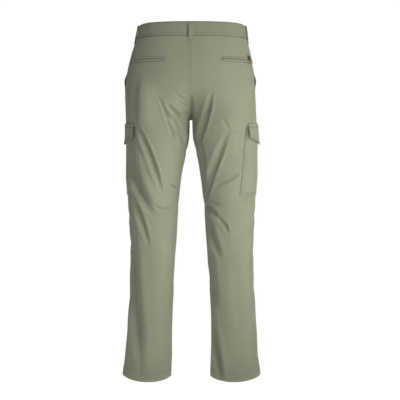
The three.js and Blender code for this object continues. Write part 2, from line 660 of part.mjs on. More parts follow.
// A belt loop is a strap sewn down at both ends, with room for a belt behind it.
function beltLoop(nodeName, side, s) {
  const seat = base(side, s, LOOP.top / 2);
  const out = normalOf(base, side, s, 0);
  out.z = 0;
  out.normalize();
  const footTop = LOOP.bottom + LOOP.foot;
  const level = (z) => {
    const t = Math.min(z, BAND_TOP);
    const proud = z > footTop ? BAND_PROUD : 0;
    return base(side, s, t).sub(seat).dot(out) + proud + LOOP.clear;
  };
  const { strap, stand, rise, fall } = LOOP;
  const inner = [
    [level(LOOP.bottom), LOOP.bottom],
    [level(footTop), footTop],
    [level(rise) + stand, rise],
    [level(BAND_MIDDLE) + stand, BAND_MIDDLE],
    [level(BAND_TOP) + stand, BAND_TOP - fall],
    [level(BAND_TOP), BAND_TOP - fall / 2],
    [level(BAND_TOP), LOOP.top],
  ];
  const outer = [
    [level(BAND_TOP) + strap, LOOP.top],
    [level(BAND_TOP) + stand + strap, BAND_TOP - fall + strap],
    [level(BAND_MIDDLE) + stand + strap, BAND_MIDDLE],
    [level(rise) + stand + strap, rise - strap],
    [level(footTop) + strap, footTop],
    [level(LOOP.bottom) + strap, LOOP.bottom],
  ];
  const shape = new THREE.Shape([...inner, ...outer].map(([d, z]) => new THREE.Vector2(d, z)));
  const geometry = new THREE.ExtrudeGeometry(shape, { depth: LOOP.width, bevelEnabled: false });
  geometry.translate(0, 0, -LOOP.width / 2);
  const up = new THREE.Vector3(0, 0, 1);
  const across = new THREE.Vector3().crossVectors(out, up);
  const mesh = add(nodeName, geometry, 'trim');
  mesh.position.set(seat.x, seat.y, 0);
  mesh.quaternion.setFromRotationMatrix(new THREE.Matrix4().makeBasis(out, up, across));
  return mesh;
}

// Back pockets: two narrow jets with the mouth between them.
function jet(nodeName, side, top, bottom) {
  const steps = 4;
  const start = JET_START[name(side)];
  const places = [top, bottom].map((t) => {
    const row = [];
    for (let k = 0; k <= steps; k += 1) {
      row.push({ side, s: fromSeatSeam(side, t, start + JET_LENGTH * k / steps), t });
    }
    return row;
  });
  const shape = laidOn(
    backColumns(side), top, bottom, SEAM_GAP, SEAM_GAP + JET_THICK, outlineGrid(places),
  );
  add(nodeName, shape, 'trim');
}

// A plain leather tab sewn across the outer end of the right back pocket.
function leatherTab() {
  const side = -1;
  const places = [TAB.top, TAB.bottom].map((t) => [TAB.from, TAB.to].map((length) => ({
    side,
    s: fromSeatSeam(side, t, length),
    t,
  })));
  const lift = SEAM_GAP * 2 + JET_THICK;
  const shape = laidOn(
    backColumns(side), TAB.top, TAB.bottom, lift, lift + TAB.thick, outlineGrid(places),
  );
  add('back_pocket_tab', shape, 'leather');
}

// Place over the outer side of a leg: `across` is a length along the cloth from the middle of the pocket,
// positive towards the back.
function sidePlace(side, across, t) {
  const behind = across + POCKET_MIDDLE[name(side)];
  return { side, s: alongRow(side, t, behind / sideRadius(side, t)), t };
}

function sideColumns(side) {
  const columns = [];
  for (let k = 2; k < FRONT_COLUMNS; k += 1) columns.push(frontColumn(side, k));
  for (let k = 0; k <= BACK_COLUMNS - 2; k += 1) columns.push(backColumn(side, k));
  return columns;
}

// Cargo pocket: a flat patch pocket over the outseam.
function cargoPocket(side) {
  const steps = 6;
  const places = [];
  for (let i = 0; i <= steps; i += 1) {
    const t = POCKET.top + (POCKET.bottom - POCKET.top) * i / steps;
    const row = [];
    for (let k = 0; k <= steps; k += 1) row.push(sidePlace(side, POCKET.width * (k / steps - 0.5), t));
    places.push(row);
  }
  const shape = laidOn(
    sideColumns(side), POCKET.top, POCKET.bottom, SEAM_GAP, SEAM_GAP + POCKET.thick, outlineGrid(places),
  );
  add(`cargo_pocket_${name(side)}`, shape, 'panel');
}

// Its flap is sewn down along the top and stands off towards a blunt point.
function cargoFlap(side) {
  const steps = 6;
  const rows = 4;
  const places = [];
  for (let i = 0; i <= rows; i += 1) {
    const row = [];
    for (let k = 0; k <= steps; k += 1) {
      const u = 2 * k / steps - 1;
      const drop = FLAP.tip + (FLAP.side - FLAP.tip) * Math.abs(u);
      const width = FLAP.width + (FLAP.cornerWidth - FLAP.width) * i / rows;
      row.push(sidePlace(side, u * width / 2, FLAP.top - FLAP.tilt * u - drop * i / rows));
    }
    places.push(row);
  }
  const overPocket = SEAM_GAP * 3 + POCKET.thick;
  const lift = (g) => {
    const down = clamp((FLAP.top - g.t) / FLAP.tip, 0, FLAP.curl);
    return SEAM_GAP + overPocket * smooth((FLAP.top - g.t) / FLAP.step) + FLAP.lift * down ** FLAP.curl;
  };
  const bottom = FLAP.top - FLAP.tip - FLAP.tilt;
  const shape = laidOn(
    sideColumns(side), FLAP.top + FLAP.tilt, bottom, lift, (g) => lift(g) + FLAP.thick, outlineGrid(places),
  );
  add(`cargo_flap_${name(side)}`, shape, 'panel');
}

// Columns across the centre front, from the wearer's right to the left.
function centreColumns(reach) {
  const columns = [];
  for (let k = reach; k >= 0; k -= 1) {
    const s = (t) => frontEdge(-1, t) * k / FRONT_COLUMNS;
    columns.push({ side: -1, s, shift: k ? 0 : -1, reversed: true });
  }
  for (let k = 0; k <= reach; k += 1) {
    columns.push({ side: 1, s: (t) => frontEdge(1, t) * k / FRONT_COLUMNS, shift: k ? 0 : -1 });
  }
  return columns;
}

const FRONT_LIMIT = 0.45;
const HALVINGS = 30;

// Place on the front at a distance x from the middle, towards the wearer's left.
function frontPlace(x, t) {
  const side = x < 0 ? -1 : 1;
  let low = 0;
  let high = FRONT_LIMIT;
  for (let i = 0; i < HALVINGS; i += 1) {
    const half = (low + high) / 2;
    if (Math.abs(base(side, half, t).x) < Math.abs(x)) low = half;
    else high = half;
  }
  return { side, s: (low + high) / 2, t };
}

// Fly: the left front's turned edge, which ends in a curve and passes over the centre front.
function fly() {
  const bend = FLY.width + OVERLAP;
  const straight = 4;
  const curved = 5;
  const places = [];
  for (let i = 0; i <= straight + curved; i += 1) {
    const turn = Math.PI / 2 * Math.max(i - straight, 0) / (curved + 1);
    const down = Math.min(i / straight, 1);
    const t = FLY.top + (FLY.bottom + bend - FLY.top) * down - bend * Math.sin(turn);
    const edge = bend * Math.cos(turn) - OVERLAP;
    places.push([-OVERLAP, 0, edge / 2, edge].map((x) => frontPlace(x, t)));
  }
  const shape = laidOn(
    centreColumns(4), FLY.top, FLY.bottom, SEAM_GAP, SEAM_GAP + FLY.thick, outlineGrid(places),
  );
  add('fly', shape, 'trim');
}

// Zip: the tape with its coil hangs behind the fronts, and the slider sits closed at its top.
function zip() {
  const places = [ZIP.top, (ZIP.top + ZIP.bottom) / 2, ZIP.bottom].map((t) => (
    [-ZIP.width / 2, 0, ZIP.width / 2].map((x) => frontPlace(x, t))));
  const shape = laidOn(
    centreColumns(3), ZIP.top, ZIP.bottom, -ZIP.sink - ZIP.tape, -ZIP.sink, outlineGrid(places),
  );
  add('zip_tape', shape, 'zip');
  const { length, tabLength, thick } = SLIDER;
  const half = SLIDER.width / 2;
  const tab = SLIDER.tabWidth / 2;
  const right = [[half, length / 2], [half, 0], [tab, -length / 2], [tab, -tabLength]];
  const left = right.map(([x, z]) => [-x, z]).reverse();
  const outline = new THREE.Shape([...right, ...left].map(([x, z]) => new THREE.Vector2(x, z)));
  const body = new THREE.ExtrudeGeometry(outline, { depth: thick, bevelEnabled: false });
  const slider = add('zip_slider', body, 'zip');
  const seat = base(1, 0, ZIP.top - length);
  const up = seat.clone().sub(base(1, 0, ZIP.top - length - tabLength)).normalize();
  const across = new THREE.Vector3(1, 0, 0);
  const out = new THREE.Vector3().crossVectors(across, up);
  slider.quaternion.setFromRotationMatrix(new THREE.Matrix4().makeBasis(across, up, out));
  slider.position.copy(seat).addScaledVector(out, SEAM_GAP - ZIP.sink);
}

// Waist button: a four-hole disc with a raised rim.
function waistButton() {
  const { radius, thick, rim, round, hole, spread: away } = BUTTON;
  const profile = [
    [0, 0],
    [radius - round, 0],
    [radius, round],
    [radius, thick - round],
    [radius - round, thick],
    [radius - rim, thick],
    [radius - rim - round, thick - round],
    [0, thick - round],
  ];
  let solid = toSolid(new THREE.LatheGeometry(profile.map(([r, h]) => new THREE.Vector2(r, h)), 24));
  for (const [dx, dz] of [[1, 1], [1, -1], [-1, 1], [-1, -1]]) {
    const pin = new THREE.CylinderGeometry(hole, hole, thick * 3, 6);
    pin.translate(dx * away, 0, dz * away);
    solid = solid.subtract(toSolid(pin));
  }
  const place = frontPlace(BUTTON.x, 0);
  const seat = base(1, place.s, BUTTON.z);
  const out = normalOf(base, 1, place.s, BUTTON.z);
  const button = add('waist_button', toGeometry(solid), 'button');
  button.quaternion.setFromUnitVectors(new THREE.Vector3(0, 1, 0), out);
  button.position.copy(seat).addScaledVector(out, BAND_PROUD + LOOP.clear);
}

for (const side of [1, -1]) {
  backPanel(side);
  frontPanel(side);
  pocketFacing(side);
  waistband(side);
  jet(`back_jet_upper_${name(side)}`, side, JET_TOP, JET_MOUTH + SEAM_GAP / 2);
  jet(`back_jet_lower_${name(side)}`, side, JET_MOUTH - SEAM_GAP / 2, JET_BOTTOM);
  cargoPocket(side);
  cargoFlap(side);
  beltLoop(`belt_loop_side_${name(side)}`, side, alongRow(side, 0, LOOP.sideBehind / sideRadius(side, 0)));
  beltLoop(`belt_loop_front_${name(side)}`, side, frontPlace(side * LOOP.frontX, 0).s);
}
beltLoop('belt_loop_back', 1, 1);
leatherTab();
fly();
zip();
waistButton();

export default pieces;
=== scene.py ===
# Cargo trousers in sage cotton twill, seen from behind and held out as if worn.
# Sizes in the sections are millimetres. +Z is up, the front faces -Y and the wearer's left is +X.
import math
from types import SimpleNamespace

import bpy
import numpy as np
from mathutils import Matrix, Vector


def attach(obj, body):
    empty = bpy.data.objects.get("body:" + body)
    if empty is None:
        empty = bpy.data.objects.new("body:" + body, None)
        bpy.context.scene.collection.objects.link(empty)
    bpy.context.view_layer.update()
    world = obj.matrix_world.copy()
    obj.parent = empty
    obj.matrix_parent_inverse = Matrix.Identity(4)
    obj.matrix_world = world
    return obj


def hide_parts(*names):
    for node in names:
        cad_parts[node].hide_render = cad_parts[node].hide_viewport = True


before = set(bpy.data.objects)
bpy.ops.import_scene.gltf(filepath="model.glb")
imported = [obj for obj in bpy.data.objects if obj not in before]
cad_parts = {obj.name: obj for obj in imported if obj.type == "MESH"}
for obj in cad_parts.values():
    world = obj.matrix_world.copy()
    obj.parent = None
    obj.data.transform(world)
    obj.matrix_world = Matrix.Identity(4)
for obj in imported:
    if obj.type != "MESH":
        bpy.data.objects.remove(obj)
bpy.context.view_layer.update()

# Camera
# Level and straight behind the trousers, from far enough away that the legs hardly converge. The picture is
# 1.2 m wide at the plane of the side seams.
camera = bpy.data.objects.new("camera", bpy.data.cameras.new("camera"))
camera.data.sensor_width = 36
camera.data.lens = 108
camera.location = (-0.027, 3.6, -0.473)
camera.rotation_euler = (math.radians(90), 0, math.radians(180))
bpy.context.scene.collection.objects.link(camera)
bpy.context.scene.camera = camera
bpy.context.scene.view_settings.view_transform = "Standard"

# Studio
# A pale round floor below the hems, a white surround that only the camera sees, and soft light: three lamps from
# the wearer's right, which are the strongest, one from behind, a broad one on the front, and an even white world.
FLOOR_HEIGHT = -1.115
FLOOR_RADIUS = 1.5
FLOOR_FADE = 0.45
FLOOR_GLOW = 0.78
SURROUND_RADIUS = 12
WORLD_LIGHT = 0.28
LAMPS = [  # name, place, aim, width, power, beam
    ("key_lamp", (-1.8, 0.4, -0.4), (0.0, 0.0, -0.42), 0.8, 1.4, 60),
    ("low_lamp", (-1.3, 1.3, -1.0), (0.0, 0.0, -0.4), 0.8, 1.15, 50),
    ("high_lamp", (-1.0, 1.5, 0.9), (0.0, 0.0, -0.25), 0.8, 1.6, 42),
    ("back_lamp", (0.2, 2.0, -0.4), (0.0, 0.0, -0.42), 0.8, 0.85, 42),
    ("front_lamp", (-0.8, -2.4, 0.5), (0.0, 0.0, -0.45), 1.4, 21, 180),
]


def made_material(name):
    """An empty material, with a way to add a node to it and a way to link two nodes."""
    material = bpy.data.materials.new(name)
    material.use_nodes = True
    tree = material.node_tree
    tree.nodes.clear()

    def add(kind, sockets=(), **settings):
        node = tree.nodes.new(f"ShaderNode{kind}")
        for setting, value in settings.items():
            setattr(node, setting, value)
        for socket, value in dict(sockets).items():
            node.inputs[socket].default_value = value
        return node

    def link(source, output, target, socket):
        tree.links.new(source.outputs[output], target.inputs[socket])

    return material, add, link


floor_material, add, link = made_material("floor")
paper = add("BsdfPrincipled", {
    "Base Color": (0.6, 0.6, 0.6, 1),
    "Roughness": 0.9,
    "Emission Color": (1, 1, 1, 1),
    "Emission Strength": FLOOR_GLOW,
})
radius = add("VectorMath", operation="LENGTH")
fade = add("MapRange", {"From Min": FLOOR_FADE, "From Max": FLOOR_RADIUS}, interpolation_type="SMOOTHSTEP")
mixed = add("MixShader")
link(add("TexCoord"), "Object", radius, 0)
link(radius, "Value", fade, "Value")
link(fade, "Result", mixed, "Fac")
link(paper, "BSDF", mixed, 1)
link(add("BsdfTransparent"), "BSDF", mixed, 2)
link(mixed, "Shader", add("OutputMaterial"), "Surface")

bpy.ops.mesh.primitive_circle_add(vertices=96, radius=FLOOR_RADIUS, fill_type="NGON", location=(0, 0, FLOOR_HEIGHT))
floor = bpy.context.object
floor.name = "floor"
floor.data.materials.append(floor_material)

surround_material, add, link = made_material("surround")
link(add("Emission"), "Emission", add("OutputMaterial"), "Surface")
bpy.ops.mesh.primitive_uv_sphere_add(segments=32, ring_count=16, radius=SURROUND_RADIUS)
surround = bpy.context.object
surround.name = "surround"
surround.data.materials.append(surround_material)
surround.visible_diffuse = surround.visible_glossy = False
surround.visible_transmission = surround.visible_shadow = False

world = bpy.data.worlds.new("studio")
world.use_nodes = True
sky = world.node_tree.nodes["Background"].inputs
sky["Color"].default_value = (1, 1, 1, 1)
sky["Strength"].default_value = WORLD_LIGHT
bpy.context.scene.world = world

for name, place, aim, width, power, beam in LAMPS:
    lamp = bpy.data.objects.new(name, bpy.data.lights.new(name, "AREA"))
    lamp.data.size = width
    lamp.data.energy = power
    lamp.data.spread = math.radians(beam)
    lamp.location = place
    towards = Vector(aim) - Vector(place)
    lamp.rotation_euler = towards.to_track_quat("-Z", "Y").to_euler()
    bpy.context.scene.collection.objects.link(lamp)

# Back panels
# The back of each leg is one piece of twill from the waistband to the hem. The seat seam joins it to its fellow,
# and the outseam and inseam join it to the front, each turned towards the back and topstitched twice.
WAIST_SEAM = 7
CROTCH = -232
HEM = -995
HEM_DROP = 15  # lower behind and higher in front
HEM_LEAN = 2.5  # lower inside and higher outside
HEM_DROP_FROM = -700
HEM_CURVE = 1.6
FRONT_RISE = 95  # height over which the two halves join above the crotch, in front and behind
BACK_RISE = 128
CROTCH_BRIDGE = 7  # half width of the cloth that spans the hollow between the halves, and how it grows upwards
BRIDGE_GROWTH = 55
BRIDGE_POWER = 1.2
STEEPEST_SPAN = 3
CROTCH_GAP = 4
GAP_FADE = 60
SOFT_START = 0.3
CENTRE_BLEND = 40  # reach of the blend that evens the depths of the two halves at the middle
ROOF_SHARE = 0.05  # share of a row, at its ends, that turns in to meet the other half
COLUMN_CROWDING = 3
MAKE_UP_POWER = 5
CROTCH_MAKE_UP = 45  # rows this near the crotch keep the even columns of the rows beyond
TURN_TRIES = 40
ROW_STEP = 1.5
PLACE_STEP = 0.004

HIPS = np.array([  # height, left, right, front, back, squareness
    (60, 153, 160, -91, 98, 2.5),
    (46, 155.5, 162.5, -92, 99.5, 2.5),
    (22, 159.5, 165, -94, 101.5, 2.48),
    (0, 165.5, 168.5, -96, 104, 2.46),
    (-23, 174, 174.8, -99, 108.5, 2.44),
    (-50, 181, 180.5, -101, 114, 2.42),
    (-100, 191.5, 188, -105, 122.5, 2.38),
    (-150, 196.5, 191, -108, 127, 2.32),
    (-200, 196, 194, -109, 125, 2.25),
    (-232, 195, 196, -109, 119, 2.2),
    (-260, 193, 197, -108, 112.5, 2.15),
])
LEGS = np.array([  # height, left outside, left inside, right outside, right inside, front, back, squareness
    (-215, 195.5, 2, 195.5, 2, -109, 122.5, 2.22),
    (-232, 195, 4, 196, 4, -109, 119, 2.2),
    (-269, 191.5, 5, 197, 5.5, -108, 110, 2.15),
    (-293, 191, 7.5, 197, 8.5, -106.5, 104.5, 2.1),
    (-317, 191, 12, 196.5, 13.5, -105, 99.5, 2.1),
    (-341, 191, 17, 196.5, 19, -102.5, 95, 2.1),
    (-389, 191, 26.5, 196.5, 27.5, -98, 87, 2.08),
    (-437, 190.5, 33, 194.5, 34.5, -92, 80, 2.06),
    (-485, 189, 37.5, 192.5, 39, -86, 73, 2.05),
    (-533, 186.5, 41, 190.5, 42, -80, 68, 2.05),
    (-605, 181.5, 45, 188, 47, -73, 66, 2.05),
    (-677, 182, 50, 187.5, 52.5, -66, 69, 2.05),
    (-749, 184, 52.5, 190, 57, -60, 71, 2.05),
    (-821, 188, 55.5, 194, 60.5, -55, 70, 2.05),
    (-893, 193, 57, 198, 61, -50, 69, 2.05),
    (-941, 198, 57.5, 201.5, 59.5, -47, 68, 2.05),
    (-995, 204.5, 59.5, 208, 58.5, -45, 67, 2.05),
    (-1020, 207, 60.5, 211, 58, -44, 66, 2.05),
])
OUTSEAM = np.array([  # height, degrees behind the side: left, right
    (60, 7, 7),
    (-100, 8, 8),
    (-250, 12, 14),
    (-480, 18, 28),
    (-700, 20, 30),
    (-1020, 22, 30),
])

# Folds seen from behind: the two ends, how far the middle swings out, half width, depth (a trough is negative),
# and how much broader one flank is than the other.
BACK_FOLDS = [  # x, z, x, z, bow, reach, depth, lean
    (-1, -163, -1, -237, 0.0, 6.5, -6, 0),
    (78, -191, 12, -257, 2.1, 6.5, -6.5, 0.2),
    (52, -158, 3, -193, -2.0, 5, -3, 0),
    (46, -178, 4, -204, -1.4, 5, -2.5, 0),
    (70, -223, 15, -321, 7.6, 7, -7, 0.2),
    (104, -157, 44, -356, 11.3, 6, -5.5, 0.2),
    (166, -237, 82, -464, 8.6, 7.5, -10, -0.2),
    (187, -298, 97, -532, -27.4, 14, -13, 0.35),
    (179, -438, 121, -618, 2.0, 7.5, -9, 0),
    (69, -425, 29, -438, -4.7, 5, -4.5, 0),
    (115, -482, 38, -488, -19.1, 6.5, -6, 0),
    (189, -485, 142, -1016, -9.5, 15, -16, 0.35),
    (74, -724, 74, -969, 0.0, 9, 2.4, 0),
    (115, -3, 105, -27, 0.0, 4, -1.1, 0),
    (-63, -151, -12, -327, 5.0, 8, -9, -0.1),
    (-23, -286, -29, -485, 6.7, 8, -9, 0.2),
    (-90, -232, -115, -275, 0.0, 5, -2.2, 0),
    (-117, -260, -29, -514, -5.2, 9, -10, -0.2),
    (-59, -435, -150, -388, -3.8, 6, -5.5, 0),
    (-133, -474, -194, -441, -6.5, 6, -4.5, 0),
    (-38, -467, -97, -489, -5.0, 5.5, -3.2, 0),
    (-29, -476, -84, -529, 0.5, 8, -9, 0),
    (-72, -519, -112, -573, 5.4, 6, -7.5, 0),
    (-38, -488, -91, -653, -9.0, 10, -11, 0.25),
    (-35, -591, -68, -809, -0.9, 13, -12, 0.35),
    (-35, -709, -97, -1040, -1.4, 9, -16, 0.35),
    (-127, -650, -145, -886, 2.9, 16, -2.5, 0),
    (-114, -3, -149, -13, 0.0, 5, -1.5, 0),
    (-120, -283, -155, -278, 0.0, 6, -2.5, 0),
    (-129, -327, -157, -333, 0.0, 6, -2, 0),
    (-123, -376, -155, -382, 0.0, 6, -2.5, 0),
    (140, -100, 146, -290, 0, 22, 7, 0.4),
]
# Folds seen from the front, in the same columns.
FRONT_FOLDS = [
    (14, -232, 98, -166, 6, 13, -5, 0),
    (-12, -236, -92, -156, -6, 13, -5, 0),
    (22, -266, 122, -224, 6, 13, -4, 0.2),
    (-24, -272, -130, -220, -5, 14, -4, 0.2),
    (20, -210, 58, -176, 3, 7, -2.5, 0),
    (-18, -214, -60, -184, -3, 7, -2.5, 0),
    (152, -296, 82, -476, 6, 15, -6, -0.3),
    (-154, -286, -90, -458, -6, 15, -6, 0.3),
    (40, -330, 92, -300, 3, 8, -3, 0),
    (-44, -338, -98, -312, -3, 8, -3, 0),
    (60, -520, 160, -562, 6, 14, -5, 0),
    (-58, -500, -154, -554, -6, 14, -5, 0),
    (66, -556, 120, -584, 3, 8, -3, 0),
    (-70, -544, -128, -580, -3, 8, -3, 0),
    (80, -596, 152, -706, 5, 15, -6, 0.2),
    (-82, -586, -142, -696, -5, 15, -5, -0.2),
    (142, -750, 106, -962, 5, 16, -7, -0.3),
    (-152, -760, -110, -970, -5, 16, -6, 0.3),
    (90, -820, 112, -900, 0, 8, -2.5, 0),
    (-92, -836, -118, -912, 0, 8, -2.5, 0),
]
# Folds seen from the side of a leg.
SIDE_FOLDS = [  # leg, way it faces, y, z, y, z, bow, reach, depth
    (1, 1, -40, -478, 38, -548, 5, 11, -1.8),
    (1, 1, 34, -566, -30, -640, 4, 12, -1.8),
    (1, 1, -26, -660, 20, -790, 3, 12, -1.8),
    (1, 1, 18, -812, -10, -960, 3, 12, -1.8),
    (-1, -1, 40, -486, -36, -552, 5, 11, -1.8),
    (-1, -1, -34, -580, 30, -655, 4, 12, -1.8),
    (-1, -1, 26, -690, -14, -800, 3, 12, -1.8),
    (-1, -1, -10, -830, 20, -965, 3, 12, -1.8),
    (1, -1, -50, -280, 30, -350, 4, 11, -1.8),
    (1, -1, 40, -420, -30, -520, 4, 12, -1.8),
    (1, -1, -20, -640, 24, -760, 3, 12, -1.8),
    (-1, 1, 46, -280, -34, -352, 4, 11, -1.8),
    (-1, 1, -36, -430, 30, -530, 4, 12, -1.8),
    (-1, 1, 24, -650, -20, -770, 3, 12, -1.8),
]
FOLD_SHARPNESS = 1.2
LIP_HEIGHT = 0.3
LIP_AT = 1.7
LIP_SHARPNESS = 2
FOLD_END = 3.5
FOLD_TAPER = 0.34
FOLD_POINT = 0.65
TURN_AWAY = 0.05
TURN_FULL = 0.5


def ease(v):
    """Smooth step from 0 to 1."""
    u = np.clip(v, 0, 1)
    return u * u * (3 - 2 * u)


def bump(distance, width, power=2):
    """Smooth hump of height 1, which is nearly gone at twice its width. A higher power has a flatter top."""
    return np.exp(-((distance / width) ** power))


def wave(distance, length, phase=0.0):
    return np.sin(distance * 2 * np.pi / length + phase)


def unit(v):
    return v / np.maximum(np.linalg.norm(v, axis=-1, keepdims=True), 1e-9)


def walked(path):
    """Length along a line of points, up to each of them."""
    return np.concatenate(([0], np.cumsum(np.linalg.norm(np.diff(path, axis=0), axis=1))))


def nearest(values, wanted):
    return int(np.argmin(np.abs(values - wanted)))


def turned_to(facing_part):
    """How far the cloth faces a direction, as 0 to 1: its folds fade out where it turns away."""
    return ease((facing_part - TURN_AWAY) / (TURN_FULL - TURN_AWAY))


def sizes_at(table, z):
    """Row of sizes at each height, on a smooth curve through the rows of a table."""
    last = len(table) - 1
    i = np.minimum(np.searchsorted(-table[1:, 0], -z, side="left"), last - 1)
    before, above, below, after = (table[k] for k in (np.maximum(i - 1, 0), i, i + 1, np.minimum(i + 2, last)))
    span = below[..., :1] - above[..., :1]
    u = np.clip((z[..., None] - above[..., :1]) / span, 0, 1)
    start = (below - before) / (below[..., :1] - before[..., :1]) * span
    end = (after - above) / (after[..., :1] - above[..., :1]) * span
    return (
        (2 * u**3 - 3 * u**2 + 1) * above
        + (u**3 - 2 * u**2 + u) * start
        + (3 * u**2 - 2 * u**3) * below
        + (u**3 - u**2) * end
    )


def closed_share(z, rise):
    """How far the two halves are still apart above the crotch: 1 at the crotch, 0 where they have joined."""
    v = np.clip((z - CROTCH) / rise, 0, 1)
    return 1 - v * v * (1 + SOFT_START) / (v + SOFT_START)


def half_section(side, z):
    """Section of one half of the trousers at each height."""
    hips, legs = sizes_at(HIPS, z), sizes_at(LEGS, z)
    above = z >= CROTCH
    own, other = (1, 2) if side > 0 else (2, 1)
    out, opposite = (np.where(above, hips[..., k], legs[..., 2 * k - 1]) for k in (own, other))
    front, back, square = (np.where(above, hips[..., k], legs[..., k + 2]) for k in (3, 4, 5))
    closing = CROTCH_GAP * ease(1 - (z - CROTCH) / GAP_FADE)
    return SimpleNamespace(
        out=out,
        mean_out=(out + opposite) / 2,
        gap=np.where(above, closing, legs[..., 2 * own]),
        middle=(front + back) / 2,
        depth=(back - front) / 2,
        square=square,
        front_spread=closed_share(z, FRONT_RISE),
        back_spread=closed_share(z, BACK_RISE),
    )


def turn_at(start, v):
    """Turn from the outer side at a share `v` of the way to the centre, where it is a half turn less `start`."""
    return np.pi * v - start * v ** (1 + COLUMN_CROWDING * (1 - 2 * start / np.pi))


def spanned(cut, q, out, x, otherwise):
    """Depth of the cloth that spans the hollow between the two halves."""
    radius = (out - cut.gap) / (1 + q)
    wide = CROTCH_BRIDGE + BRIDGE_GROWTH * (1 - q) ** BRIDGE_POWER
    reach = np.maximum(cut.gap + np.minimum(wide, q * radius), 1e-9)
    u = np.abs((reach - cut.gap) / radius - q)
    rest = np.maximum(1 - u**cut.square, 1e-6)
    edge = cut.depth * rest ** (1 / cut.square)
    slope = cut.depth * rest ** (1 / cut.square - 1) * u ** (cut.square - 1) / radius
    shape = edge - np.minimum(slope, STEEPEST_SPAN) * (reach**2 - x**2) / (2 * reach)
    return np.where((x < reach) & (q > 0), shape, otherwise)


def smooth_cloth(side, s, t):
    """Point of the cloth before its folds, at position `s` round a half and height `t`."""
    s, t = np.broadcast_arrays(np.asarray(s, float), np.asarray(t, float))
    front = s < 0.5
    rise = np.where(front, FRONT_RISE, BACK_RISE)
    v = np.abs(2 * s - 1)
    seam = CROTCH + rise * (1 - np.cos(np.pi / 2 * np.clip((t - CROTCH) / rise, 0, 1)))
    z = np.where((t > CROTCH) & (t < CROTCH + rise), t + (seam - t) * v**3, t)
    cut = half_section(side, z)
    q = np.where(front, cut.front_spread, cut.back_spread)
    turn = turn_at(np.arccos(q ** (cut.square / 2)), v)
    angle = np.where(front, np.pi - turn, np.pi + turn)
    cos, sin = np.cos(angle), np.sin(angle)
    c = np.sign(cos) * np.abs(cos) ** (2 / cut.square)
    d = np.abs(sin) ** (2 / cut.square)
    x = cut.gap + (cut.out - cut.gap) / (1 + q) * (q - c)
    x = np.where(t >= CROTCH, x - cut.gap * (1 - ease(np.minimum(s, 1 - s) / ROOF_SHARE)), x)
    y = cut.depth * d
    own = spanned(cut, q, cut.out, x, y)
    evened = spanned(cut, q, cut.mean_out, 0, cut.depth) - spanned(cut, q, cut.out, 0, cut.depth)
    bridged = own + np.where(x < CENTRE_BLEND, evened * (1 - np.minimum(x, CENTRE_BLEND) / CENTRE_BLEND) ** 2, 0)
    y = np.where(z >= CROTCH, bridged, y)
    tilt = ease((HEM_DROP_FROM - t) / (HEM_DROP_FROM - HEM))
    dip = np.sign(sin) * np.abs(sin) ** HEM_CURVE
    z = z + tilt * (HEM_DROP * dip - HEM_LEAN * cos)
    return np.stack((side * x, cut.middle - np.where(sin < 0, -1, 1) * y, z), axis=-1)


def facing(surface, side, s, t):
    """Outward direction of a surface."""
    s, t = np.broadcast_arrays(np.asarray(s, float), np.asarray(t, float))
    low = np.where(t > CROTCH, np.maximum(t - ROW_STEP, CROTCH + 0.01), t - ROW_STEP)
    high = np.where(t <= CROTCH, np.minimum(t + ROW_STEP, CROTCH), t + ROW_STEP)
    along = surface(side, np.minimum(s + PLACE_STEP, 1), t) - surface(side, np.maximum(s - PLACE_STEP, 0), t)
    down = surface(side, s, low) - surface(side, s, high)
    normal = np.cross(down, along) * side
    ends = (s <= 0) | (s >= 1)
    normal[..., 0] = np.where(ends & (t > CROTCH), 0, normal[..., 0])
    normal = np.where((ends & (t == CROTCH))[..., None], (0, 0, -1), normal)
    return unit(normal)


def fold_height(fold, a, z):
    """Height of one fold over a plane: a trough with a low lip on each flank, or a ridge."""
    a0, z0, a1, z1, bow, reach, depth, lean = fold
    da, dz = a1 - a0, z1 - z0
    length = math.hypot(da, dz)
    u = ((a - a0) * da + (z - z0) * dz) / length**2
    across = ((a - a0) * dz - (z - z0) * da) / length - bow * 4 * u * (1 - u)
    pointed = FOLD_POINT + (1 - FOLD_POINT) * ease(u / FOLD_TAPER) * ease((1 - u) / FOLD_TAPER)
    v = np.abs(across) / (reach * pointed * (1 + lean * np.sign(across)))
    shape = np.exp(-FOLD_SHARPNESS * v * v) - LIP_HEIGHT * np.exp(-LIP_SHARPNESS * (v - LIP_AT) ** 2)
    ends = ease(u / FOLD_TAPER) * ease((1 - u) / FOLD_TAPER)
    return np.where((u > 0) & (u < 1) & (v < FOLD_END), depth * ends * shape, 0)


# Shallow waves that run all over worn cloth: 30 crossing ripples with fixed directions and phases.
RIPPLES = np.random.default_rng(11).uniform(-1, 1, (30, 5))
RIPPLE_LENGTH = (34, 120)
RIPPLE_HEIGHT = 0.07


def ripple_height(p):
    """Height of the ripples at points of the cloth."""
    height = 0
    for kx, ky, kz, phase, size in RIPPLES:
        direction = np.array((kx, ky, 0.45 * kz))
        direction = direction / np.linalg.norm(direction)
        length = RIPPLE_LENGTH[0] + (RIPPLE_LENGTH[1] - RIPPLE_LENGTH[0]) * (size + 1) / 2
        height = height + RIPPLE_HEIGHT * length / 60 * wave(p @ direction, length, 3 * phase * np.pi)
    return height


def fold_relief(side, p, n):
    """Height of all the folds and ripples at points of the smooth cloth."""
    x, y, z = p[..., 0], p[..., 1], p[..., 2]
    height = ripple_height(p)
    for face, folds in ((1, BACK_FOLDS), (-1, FRONT_FOLDS)):
        height = height + turned_to(n[..., 1] * face) * sum(fold_height(fold, x, z) for fold in folds)
    for leg, way, *fold in SIDE_FOLDS:
        if leg == side:
            height = height + turned_to(n[..., 0] * way) * fold_height((*fold, 0), y, z)
    return height


